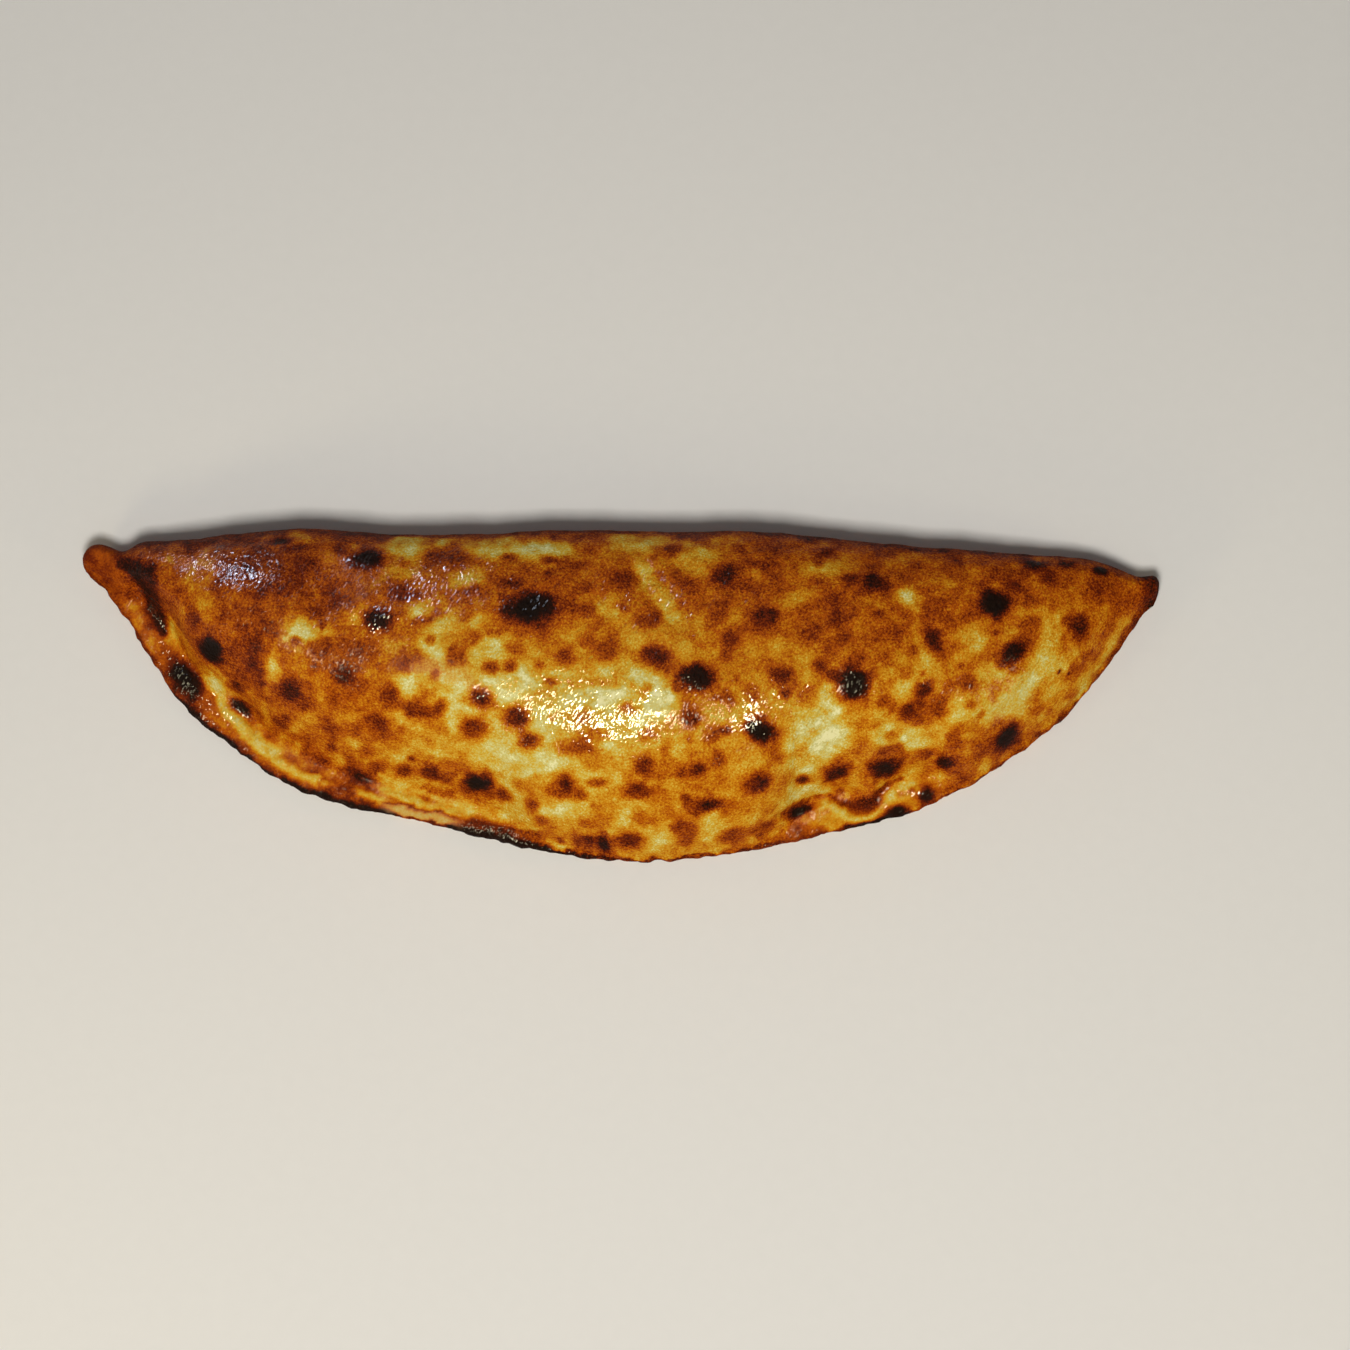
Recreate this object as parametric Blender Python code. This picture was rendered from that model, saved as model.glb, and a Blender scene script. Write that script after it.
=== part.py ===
"""A closed, folded flatbread baked round a filling, as one solid.

The bread lies along X. Its rounded fold faces +Y, its sealed edge faces -Y and it rests on Z = 0.
Sections across the length are worked out from the station table and joined into one closed skin.
"""

import math

import bmesh
import bpy
import numpy as np

# Sizes of the whole, in millimetres.
MM = 0.001
LENGTH = 300.0
LEFT_TIP = -LENGTH / 2
RIGHT_TIP = LENGTH / 2
KNOB_CAP = 3.4
BLUNT_CAP = 2.2

# Where the outline bends: along the bread, fold edge, sealed edge, crown height above the underside,
# width of the pressed lip, thickness of the sealed edge.
STATIONS = (
    (-150.0, 41.8, 34.0, 8.6, 0.6, 4.6),
    (-145.0, 42.6, 31.0, 10.4, 0.8, 5.0),
    (-139.0, 40.8, 23.2, 12.4, 2.5, 4.6),
    (-132.0, 43.4, 12.7, 18.5, 6.0, 4.0),
    (-120.0, 43.8, -3.8, 25.0, 8.0, 3.6),
    (-108.0, 45.0, -13.4, 29.5, 8.0, 3.4),
    (-92.0, 45.7, -24.2, 32.5, 7.6, 3.4),
    (-75.0, 45.2, -30.6, 34.0, 6.8, 3.4),
    (-60.0, 44.1, -33.4, 34.6, 6.4, 3.4),
    (-40.0, 44.4, -38.0, 35.0, 5.6, 3.4),
    (-20.0, 45.3, -42.9, 35.4, 2.2, 3.6),
    (5.0, 45.5, -45.5, 35.6, 0.3, 4.4),
    (32.0, 45.5, -43.0, 35.2, 0.5, 4.2),
    (58.0, 43.7, -37.5, 34.0, 6.0, 3.4),
    (82.0, 41.4, -31.6, 31.6, 5.0, 3.4),
    (98.0, 40.4, -23.3, 29.0, 0.5, 5.4),
    (112.0, 39.4, -13.9, 25.6, 0.3, 6.2),
    (126.0, 38.8, -2.8, 20.6, 0.3, 6.2),
    (137.0, 36.3, 11.0, 14.6, 0.3, 5.8),
    (145.0, 33.6, 22.4, 10.0, 0.3, 4.8),
    (150.0, 34.4, 27.0, 8.0, 0.3, 4.4),
)

# Section proportions. The crest moves towards the fold where the bread is narrow.
CREST_SHARE = 0.52
NARROW_CREST_SHARE = 0.78
FULL_WIDTH = 90.0
FOLD_HEIGHT_SHARE = 0.42
DOME_POWER = 2.3
DOME_FULLNESS_BARE = 0.78
DOME_FULLNESS_LIPPED = 1.1
DOME_SPREAD = 1.6
PLEAT_FADE = 9
FOLD_POWER = 2.25
FOLD_TUCK = 13.0
FOLD_TUCK_SHARE = 0.3
LIP_TUCK = 7.0
LIP_TUCK_SHARE = 0.22
LIP_UNDERCUT = 0.8
EDGE_ROUNDING = 2.0
EDGE_ROUNDING_SHARE = 0.2
EDGE_TURN_BARE = 20.0
EDGE_TURN_LIPPED = 90.0
FULL_LIP_WIDTH = 4.5
RIDGE_HEIGHT = 1.3
RIDGE_LIP_WIDTH = 8.0
SLOPE_STEP = 0.5

# The tips rise a little off the surface the bread rests on.
LEFT_RISE = 4.5
RIGHT_RISE = 3.5
RISE_START = 104.0

# Crimps pressed into the sealed edge: centre along the bread, half length, extra lip width, extra height.
CRIMPS = (
    (58.0, 9.0, 2.6, 1.8),
    (68.5, 5.5, -2.0, -0.8),
    (81.5, 8.0, 1.8, 2.2),
)
CRIMP_REACH = 1.4

# Slow rises and hollows of the dough over the filling: centre x and y, two radii, turn in degrees, height.
SWELLS = (
    (-106.0, 20.0, 24.0, 18.0, 0.0, 1.2),
    (-79.0, 22.0, 7.0, 22.0, 20.0, -1.5),
    (-48.0, 14.0, 24.0, 20.0, 10.0, 1.0),
    (8.0, 29.0, 4.0, 16.0, 35.0, -0.8),
    (38.0, -2.0, 30.0, 20.0, 0.0, 0.8),
    (92.0, 6.0, 8.0, 24.0, -35.0, -0.9),
    (-14.0, -34.0, 14.0, 6.0, 0.0, 0.9),
)
SWELL_REACH = 1.6
SWELL_START_SHARE = 0.5
SWELL_FULL_HEIGHT = 25.0

# Mesh density: points round each part of a section, and sections along the bread.
EDGE_POINTS = 5
LIP_POINTS = 5
DOME_POINTS = 14
FAR_POINTS = 10
TUCK_POINTS = 5
BASE_POINTS = 7
LIP_UNDER_POINTS = 3
BODY_SECTIONS = 70
CAP_SECTIONS = 5

# Look of the crust.
CRUST_COLOUR = (0.56, 0.26, 0.05, 1.0)
CRUST_ROUGHNESS = 0.42


def flowing(x, column):
    """Values of one station column at x, as a curve that never overshoots its stations."""
    at = np.array([row[0] for row in STATIONS])
    value = np.array([row[column] for row in STATIONS])
    step = np.diff(at)
    slope = np.diff(value) / step
    tangent = np.zeros_like(value)
    tangent[0] = slope[0]
    tangent[-1] = slope[-1]
    before = slope[:-1]
    after = slope[1:]
    same_way = before * after > 0
    total = np.where(same_way, before + after, 1.0)
    tangent[1:-1] = np.where(same_way, 2 * before * after / total, 0.0)
    x = np.clip(x, at[0], at[-1])
    index = np.clip(np.searchsorted(at, x) - 1, 0, len(step) - 1)
    share = (x - at[index]) / step[index]
    start = value[index] * (1 + 2 * share) * (1 - share) ** 2
    end = value[index + 1] * share**2 * (3 - 2 * share)
    leave = tangent[index] * step[index] * share * (1 - share) ** 2
    arrive = tangent[index + 1] * step[index] * share**2 * (share - 1)
    return start + end + leave + arrive


def bump(distance):
    """A soft hill, 1 in the middle and 0 from distance 1 outwards."""
    inside = np.clip(1 - distance**2, 0, 1)
    return inside**2


def rise(x):
    """Height of the underside above the resting surface."""
    left = np.clip((-RISE_START - x) / (-RISE_START - LEFT_TIP), 0, 1)
    right = np.clip((x - RISE_START) / (RIGHT_TIP - RISE_START), 0, 1)
    return LEFT_RISE * left**2 + RIGHT_RISE * right**2


def swell(x, y):
    """Height that the slow rises and hollows add at a point of the top."""
    height = np.zeros_like(x)
    for centre_x, centre_y, long_radius, short_radius, turn, amount in SWELLS:
        cosine = math.cos(math.radians(turn))
        sine = math.sin(math.radians(turn))
        along = (x - centre_x) * cosine + (y - centre_y) * sine
        across = (y - centre_y) * cosine - (x - centre_x) * sine
        away = np.hypot(along / long_radius, across / short_radius) / SWELL_REACH
        height += amount * bump(away)
    return height


def lip_at(x):
    """Width and extra height of the pressed lip at x, with its crimps."""
    width = flowing(x, 4)
    height = RIDGE_HEIGHT * np.clip(width / RIDGE_LIP_WIDTH, 0, 1)
    for centre, half, wider, higher in CRIMPS:
        near = bump((x - centre) / (CRIMP_REACH * half))
        width = width + wider * near
        height = height + higher * near
    return width, height


def section(x):
    """One closed section across the bread at x, as y and z, from the sealed edge over the top."""
    fold = flowing(x, 1)
    seal = flowing(x, 2)
    height = flowing(x, 3)
    edge = flowing(x, 5)
    lip_width, lip_height = lip_at(x)
    slope = (flowing(x + SLOPE_STEP, 2) - flowing(x - SLOPE_STEP, 2)) / (2 * SLOPE_STEP)
    squareness = 1 / math.hypot(1, slope)
    width = fold - seal
    narrowness = 1 - min(1, width / FULL_WIDTH)
    crest_share = CREST_SHARE + (NARROW_CREST_SHARE - CREST_SHARE) * narrowness
    crest = seal + crest_share * width
    edge_top = LIP_UNDERCUT + edge
    round_in = min(EDGE_ROUNDING / squareness, EDGE_ROUNDING_SHARE * width)

    # The rounded sealed edge, from its underside up, straight into the dome where there is no lip.
    lipped = min(1, lip_width / FULL_LIP_WIDTH) ** 2
    last_turn = math.radians(EDGE_TURN_BARE + (EDGE_TURN_LIPPED - EDGE_TURN_BARE) * lipped)
    turn = np.linspace(-math.pi / 2, last_turn, EDGE_POINTS, endpoint=False)
    edge_y = seal + round_in * (1 - np.cos(turn))
    edge_z = LIP_UNDERCUT + edge / 2 * (1 + np.sin(turn))

    # The pressed lip, a low ridge between the edge and the groove.
    lip_start = seal + round_in * (1 - math.cos(last_turn))
    lip_top = LIP_UNDERCUT + edge / 2 * (1 + math.sin(last_turn))
    smooth_groove = lip_start + flowing(x, 4) / squareness
    groove = lip_start + lip_width / squareness
    ease = np.linspace(0, 1, LIP_POINTS, endpoint=False)
    lip_y = lip_start + (groove - lip_start) * ease
    lip_z = lip_top + lip_height * np.sin(math.pi * ease)

    # The dome from the groove up to the crest.
    ease = np.linspace(0, 1, DOME_POINTS, endpoint=False) ** DOME_SPREAD
    pleat = (groove - smooth_groove) * (1 - ease) ** PLEAT_FADE
    near_y = smooth_groove + (crest - smooth_groove) * ease + pleat
    fullness = DOME_FULLNESS_BARE + (DOME_FULLNESS_LIPPED - DOME_FULLNESS_BARE) * lipped
    dome = (1 - (1 - ease) ** DOME_POWER) ** fullness
    near_z = lip_top + (height - lip_top) * dome

    # The top from the crest to the widest point of the fold.
    widest = FOLD_HEIGHT_SHARE * height
    turn = np.linspace(0, math.pi / 2, FAR_POINTS, endpoint=False)
    far_y = crest + (fold - crest) * np.sin(turn) ** (2 / FOLD_POWER)
    far_z = widest + (height - widest) * np.cos(turn) ** (2 / FOLD_POWER)

    # The fold tucks under to the flat base, and the base runs back to the lip.
    tuck = min(FOLD_TUCK, FOLD_TUCK_SHARE * width)
    turn = np.linspace(0, math.pi / 2, TUCK_POINTS, endpoint=False)
    tuck_y = fold - tuck * (1 - np.cos(turn))
    tuck_z = widest * (1 - np.sin(turn))
    lip_tuck = min(LIP_TUCK / squareness, LIP_TUCK_SHARE * width)
    base_y = np.linspace(fold - tuck, seal + lip_tuck, BASE_POINTS)
    base_z = np.zeros(BASE_POINTS)
    ease = np.linspace(0, 1, LIP_UNDER_POINTS + 1, endpoint=False)[1:]
    under_y = seal + lip_tuck + (round_in - lip_tuck) * ease
    under_z = LIP_UNDERCUT * ease**2

    y = np.concatenate([edge_y, lip_y, near_y, far_y, tuck_y, base_y, under_y])
    z = np.concatenate([edge_z, lip_z, near_z, far_z, tuck_z, base_z, under_z])
    top = np.clip((z - edge_top) / (SWELL_START_SHARE * height), 0, 1)
    z = z + top * swell(np.full_like(y, x), y) * min(1, height / SWELL_FULL_HEIGHT)
    return y, z


def sections():
    """Every section along the bread, the ones past the last stations drawn in to round the tips."""
    angles = np.linspace(0, math.pi / 2, CAP_SECTIONS + 1, endpoint=False)[1:]
    start = LEFT_TIP + KNOB_CAP
    end = RIGHT_TIP - BLUNT_CAP
    rings = []
    for angle in angles[::-1]:
        rings.append((start - KNOB_CAP * math.sin(angle), math.cos(angle)))
    for x in np.linspace(start, end, BODY_SECTIONS):
        rings.append((x, 1.0))
    for angle in angles:
        rings.append((end + BLUNT_CAP * math.sin(angle), math.cos(angle)))
    made = []
    for place, scale in rings:
        y, z = section(place)
        middle_y = (y.max() + y.min()) / 2
        middle_z = (z.max() + z.min()) / 2
        y = middle_y + (y - middle_y) * scale
        z = middle_z + (z - middle_z) * scale + rise(place)
        made.append(np.stack([np.full_like(y, place), y, z], axis=1))
    return made


def skin(name, rings):
    """One closed mesh object through the rings, with a point at each tip."""
    mesh = bmesh.new()
    rows = [[mesh.verts.new(point * MM) for point in ring] for ring in rings]
    tips = []
    for ring, x in ((rings[0], LEFT_TIP), (rings[-1], RIGHT_TIP)):
        middle = ring.mean(axis=0)
        tips.append(mesh.verts.new((x * MM, middle[1] * MM, middle[2] * MM)))
    count = len(rows[0])
    for row, following in zip(rows, rows[1:]):
        for i in range(count):
            after = (i + 1) % count
            mesh.faces.new((row[i], row[after], following[after], following[i]))
    for i in range(count):
        after = (i + 1) % count
        mesh.faces.new((tips[0], rows[0][after], rows[0][i]))
        mesh.faces.new((tips[1], rows[-1][i], rows[-1][after]))
    bmesh.ops.recalc_face_normals(mesh, faces=mesh.faces)
    data = bpy.data.meshes.new(name)
    mesh.to_mesh(data)
    mesh.free()
    data.shade_smooth()
    made = bpy.data.objects.new(name, data)
    bpy.context.scene.collection.objects.link(made)
    return made


def crust_material():
    """Golden baked dough."""
    material = bpy.data.materials.new("baked_crust")
    material.use_nodes = True
    shader = material.node_tree.nodes["Principled BSDF"]
    shader.inputs["Base Color"].default_value = CRUST_COLOUR
    shader.inputs["Roughness"].default_value = CRUST_ROUGHNESS
    return material


def main():
    for old in list(bpy.data.objects):
        bpy.data.objects.remove(old, do_unlink=True)
    bread = skin("pide_bread", sections())
    bread.data.materials.append(crust_material())


main()
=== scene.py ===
"""A closed minced meat pide: one folded, half-moon bread with a pressed edge, scorched and buttered.

The crust is worked out as sections across the bread, at a much finer pitch than the solid it covers.
Relief, browning with some painted light and shade, and butter are then laid over it as functions of place.
"""

import math

import bpy
import numpy as np
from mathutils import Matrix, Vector


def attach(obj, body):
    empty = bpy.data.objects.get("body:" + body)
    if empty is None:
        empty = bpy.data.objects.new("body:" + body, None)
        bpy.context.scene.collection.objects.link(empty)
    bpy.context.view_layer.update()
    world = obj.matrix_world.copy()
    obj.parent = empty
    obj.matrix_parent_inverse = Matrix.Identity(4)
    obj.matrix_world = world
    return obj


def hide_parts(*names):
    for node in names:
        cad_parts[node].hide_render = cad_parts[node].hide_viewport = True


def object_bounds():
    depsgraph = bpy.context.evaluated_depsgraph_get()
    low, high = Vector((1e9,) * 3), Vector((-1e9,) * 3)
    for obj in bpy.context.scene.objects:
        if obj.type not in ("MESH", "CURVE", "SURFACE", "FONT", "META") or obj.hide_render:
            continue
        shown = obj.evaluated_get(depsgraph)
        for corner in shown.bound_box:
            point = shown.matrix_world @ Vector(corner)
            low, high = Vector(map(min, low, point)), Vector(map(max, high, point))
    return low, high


bl_info = {
    "name": "Closed minced meat pide",
    "version": (1, 0, 0),
    "blender": (4, 5, 0),
    "location": "3D View > Sidebar > Pide",
    "description": "Builds a folded, scorched and buttered pide and the stage it lies on",
    "category": "Object",
}

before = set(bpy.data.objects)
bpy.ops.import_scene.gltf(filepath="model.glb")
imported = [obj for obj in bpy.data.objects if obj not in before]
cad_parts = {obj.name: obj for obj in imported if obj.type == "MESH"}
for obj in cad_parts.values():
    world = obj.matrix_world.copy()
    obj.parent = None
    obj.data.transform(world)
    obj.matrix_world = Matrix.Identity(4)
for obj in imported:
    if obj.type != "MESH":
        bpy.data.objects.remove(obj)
SOLID_BOX = [list(map(float, corner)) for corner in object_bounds()]

# Sizes of the whole, in millimetres, as the solid has them.
MM = 0.001
LEFT_TIP = SOLID_BOX[0][0] / MM
RIGHT_TIP = SOLID_BOX[1][0] / MM
KNOB_CAP = 3.4
BLUNT_CAP = 2.2

# Where the outline bends: along the bread, fold edge, sealed edge, crown height above the underside,
# width of the pressed lip, thickness of the sealed edge.
STATIONS = (
    (-150.0, 41.8, 34.0, 8.6, 0.6, 4.6),
    (-145.0, 42.6, 31.0, 10.4, 0.8, 5.0),
    (-139.0, 40.8, 23.2, 12.4, 2.5, 4.6),
    (-132.0, 43.4, 12.7, 18.5, 6.0, 4.0),
    (-120.0, 43.8, -3.8, 25.0, 8.0, 3.6),
    (-108.0, 45.0, -13.4, 29.5, 8.0, 3.4),
    (-92.0, 45.7, -24.2, 32.5, 7.6, 3.4),
    (-75.0, 45.2, -30.6, 34.0, 6.8, 3.4),
    (-60.0, 44.1, -33.4, 34.6, 6.4, 3.4),
    (-40.0, 44.4, -38.0, 35.0, 5.6, 3.4),
    (-20.0, 45.3, -42.9, 35.4, 2.2, 3.6),
    (5.0, 45.5, -45.5, 35.6, 0.3, 4.4),
    (32.0, 45.5, -43.0, 35.2, 0.5, 4.2),
    (58.0, 43.7, -37.5, 34.0, 6.0, 3.4),
    (82.0, 41.4, -31.6, 31.6, 5.0, 3.4),
    (98.0, 40.4, -23.3, 29.0, 0.5, 5.4),
    (112.0, 39.4, -13.9, 25.6, 0.3, 6.2),
    (126.0, 38.8, -2.8, 20.6, 0.3, 6.2),
    (137.0, 36.3, 11.0, 14.6, 0.3, 5.8),
    (145.0, 33.6, 22.4, 10.0, 0.3, 4.8),
    (150.0, 34.4, 27.0, 8.0, 0.3, 4.4),
)

# Section proportions.
CREST_SHARE = 0.52
NARROW_CREST_SHARE = 0.78
FULL_WIDTH = 90.0
FOLD_HEIGHT_SHARE = 0.42
DOME_POWER = 2.3
DOME_FULLNESS_BARE = 0.78
DOME_FULLNESS_LIPPED = 1.1
PLEAT_FADE = 9
FOLD_POWER = 2.25
FOLD_TUCK = 13.0
FOLD_TUCK_SHARE = 0.3
LIP_TUCK = 7.0
LIP_TUCK_SHARE = 0.22
LIP_UNDERCUT = 0.8
EDGE_ROUNDING = 2.0
EDGE_ROUNDING_SHARE = 0.2
EDGE_TURN_BARE = 20.0
EDGE_TURN_LIPPED = 90.0
FULL_LIP_WIDTH = 4.5
RIDGE_HEIGHT = 1.3
RIDGE_LIP_WIDTH = 8.0
SLOPE_STEP = 0.5

# The tips rise a little off the surface the bread rests on.
LEFT_RISE = 4.5
RIGHT_RISE = 3.5
RISE_START = 104.0

# Crimps pressed into the sealed edge: centre along the bread, half length, extra lip width, extra height.
CRIMPS = (
    (58.0, 9.0, 2.6, 1.8),
    (68.5, 5.5, -2.0, -0.8),
    (81.5, 8.0, 1.8, 2.2),
)
CRIMP_REACH = 1.4

# Slow rises and hollows of the dough over the filling: centre x and y, two radii, turn in degrees, height.
SWELLS = (
    (-106.0, 20.0, 24.0, 18.0, 0.0, 1.2),
    (-79.0, 22.0, 7.0, 22.0, 20.0, -1.5),
    (-48.0, 14.0, 24.0, 20.0, 10.0, 1.0),
    (8.0, 29.0, 4.0, 16.0, 35.0, -0.8),
    (38.0, -2.0, 30.0, 20.0, 0.0, 0.8),
    (92.0, 6.0, 8.0, 24.0, -35.0, -0.9),
    (-14.0, -34.0, 14.0, 6.0, 0.0, 0.9),
)
SWELL_REACH = 1.6
SWELL_START_SHARE = 0.5
SWELL_FULL_HEIGHT = 25.0

# Points round each part of a fine section, and sections along the bread.
PARTS = {"edge": 9, "lip": 12, "dome": 84, "far": 62, "tuck": 14, "base": 18, "under": 5}
DOME_SPREAD = 1.25
BODY_SECTIONS = 404
CAP_SECTIONS = 8

# How the dough softens the groove between lip and dome: reach in plan, times over, share taken each
# time, and how many times the points of the dome outnumber those of its foot.
FOOT_REACH = 1.0
FOOT_SOFTENING = 6
FOOT_SHARE = 0.5
DOME_PER_FOOT = 3

# The seeded lattice under all mottling, and how each layer of it differs from the one before.
LATTICE_SIDE = 48
LATTICE_SEED = 11
LATTICE = np.random.default_rng(LATTICE_SEED).random((LATTICE_SIDE,) * 3)
LATTICE_START = 1000.0
LAYER_WEIGHT = 0.55
LAYER_WAVE = 0.5
LAYER_SHIFT = 7.3
LAYER_SPREAD = 1.7

# Kinds of mottling: wave in millimetres, layers, and the shift that keeps each apart from the others.
MOTTLES = {
    "ragged": (2.4, 3, 5.0),
    "torn": (6.0, 4, 17.0),
    "cloud": (3.2, 3, 23.0),
    "slow_browning": (24.0, 3, 1.0),
    "quick_browning": (6.5, 3, 13.0),
    "sole": (15.0, 4, 40.0),
    "butter": (16.0, 3, 60.0),
    "hand_rolling": (21.0, 2, 80.0),
    "lumps": (7.0, 2, 90.0),
    "grain": (2.6, 2, 95.0),
    "brink": (3.4, 3, 99.0),
}

# How far the rims of the zones wander, and how far the tone does inside them.
TORN_REACH = 1.1
CLOUD_TONE = 0.16

# How far the dough has to face down or up for the underside, the top, the crown and the pools to show.
UNDER_FACING = (0.35, 0.8)
TOP_FACING = (-0.2, 0.25)
CROWN_FACING = (0.0, 0.8)
POOL_FACING = (0.3, 0.75)

# Points that face up less than this are put this much farther off when a place on the top is looked for.
LEAST_FACING = 0.02
NOT_ON_TOP = 50

# Height counts this much less than plan in the distance from an oval.
HEIGHT_REACH = 1.3

# A distance from a line beyond any that matters, in half widths.
FAR_OFF = 9.0

# A length that stands in for none where a direction is divided by its own length.
LEAST_LENGTH = 1e-9

# Even baking and painted light: the tone of all the dough, how far it drifts, and what each side and end
# adds or takes off.
# The far side and far wall are darker as painted shade, the near side paler as painted light, and the left
# end and fold side browner, partly as painted shade. A triple holds the amount and where it comes in from
# and to.
EVEN_TONE = 0.4
SLOW_BROWNING = 0.18
QUICK_BROWNING = 0.26
FAR_SIDE_PAINTED_SHADE = (0.08, 0.1, 0.7)
FAR_WALL_PAINTED_SHADE = (0.28, 0.75, 1.0)
NEAR_SIDE_PAINTED_LIGHT = (0.08, 0.05, 0.4)
LEFT_END_BROWNING_AND_SHADE = 0.16
LEFT_END = (-100.0, -50.0)
RIGHT_END_PALING = (0.04, 90.0, 110.0)
FOLD_SIDE_BROWNING_AND_SHADE = (0.04, 8.0, 25.0)
GOLDEN_PALING = 0.09
GOLDEN_CENTRE = (-22.0, -14.0)
GOLDEN_RADII = (90.0, 34.0)
MOST_EVEN_TONE = 0.71

# Fine creases in the dough: from x and y, to x and y, width, height, tone along the crease.
CREASES = (
    (2.0, 38.0, 17.0, 17.0, 1.6, 0.45, 0.2),
    (-1.0, 25.0, -9.0, 17.0, 1.2, 0.35, 0.22),
    (-84.0, 14.0, -60.0, 29.0, 2.2, 0.5, 0.58),
    (-40.0, 22.0, -14.0, 31.0, 1.6, 0.25, 0.3),
    (118.0, 14.0, 99.0, -9.0, 2.0, 0.35, 0.2),
    (108.0, 20.0, 92.0, 0.0, 1.6, -0.3, 0.5),
    (60.0, 4.0, 66.0, 26.0, 1.6, 0.25, 0.4),
    (-5.3, -46.0, -5.0, -36.0, 1.3, -0.7, 0.6),
    (-99.0, -7.5, -86.0, -15.5, 0.7, 0.28, 0.24),
    (-98.0, -9.8, -87.0, -17.0, 0.7, 0.28, 0.24),
    (-97.0, -12.0, -88.0, -18.2, 0.7, 0.25, 0.24),
)
CREASE_REACH = 1.6
CREASE_WOBBLE = 0.8
CREASE_SHARE = 0.6

# Brims and folds of the pressed lip and the crevice behind its crimps: places passed, half width at each.
LEFT_BRIM = (
    (-116.0, 6.0, 0.9),
    # From here to about x -104 the brim is wide, and its pale tone there stands partly for a painted
    # sheen.
    (-111.2, 1.0, 2.2),
    (-107.6, -4.6, 2.4),
    (-104.0, -11.0, 1.8),
    (-97.0, -17.0, 1.2),
    (-91.0, -20.4, 1.6),
    (-86.5, -22.2, 1.3),
    (-82.0, -24.2, 1.6),
    (-77.0, -25.0, 1.5),
    (-72.0, -26.6, 1.4),
    (-66.5, -28.4, 0.9),
)
LOW_FOLD = (
    (-72.0, -22.6, 0.7),
    (-64.0, -26.6, 1.1),
    (-57.2, -29.2, 1.3),
    (-50.0, -31.6, 1.3),
    (-42.8, -33.4, 1.2),
    (-33.0, -35.2, 0.9),
    (-23.0, -36.8, 0.6),
)
HIGH_FOLD = (
    (-67.0, -21.6, 0.6),
    (-58.0, -25.4, 0.9),
    (-49.0, -28.6, 0.9),
    (-40.0, -31.0, 0.7),
)
CRIMP_BRIM = (
    (50.5, -32.4, 0.8),
    (53.7, -30.5, 1.5),
    (56.4, -29.7, 1.7),
    (60.8, -32.0, 1.5),
    (65.3, -33.8, 1.3),
    (69.2, -33.2, 1.2),
    (72.2, -30.7, 1.5),
    (74.4, -27.6, 1.7),
    (77.2, -25.4, 1.5),
    (81.5, -23.8, 0.8),
)
CREVICE = (
    (45.0, -33.2, 0.9),
    (50.0, -30.6, 1.5),
    (53.6, -28.2, 0.8),
    (57.5, -27.2, 0.7),
    (61.6, -29.2, 0.9),
    (65.6, -31.3, 1.4),
    (69.0, -30.3, 1.3),
    (71.2, -27.2, 1.0),
    (74.0, -24.6, 0.8),
    (78.0, -22.8, 0.6),
)

# Each brim and fold with its tone and height.
BRIMS = (
    (CRIMP_BRIM, 0.12, 0.45),
    (LEFT_BRIM, 0.13, 0.5),
    (LOW_FOLD, 0.2, 0.45),
    (HIGH_FOLD, 0.22, 0.4),
)
BRIM_WOBBLE = 1.2
BRIM_REACH = 1.3
BRIM_SHARE = 0.9
BRIM_CLOUD = 0.5
CREVICE_REACH = 1.5
CREVICE_DROP = 0.55
CREVICE_TONE = 0.76
CREVICE_SHARE = 0.7
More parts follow.
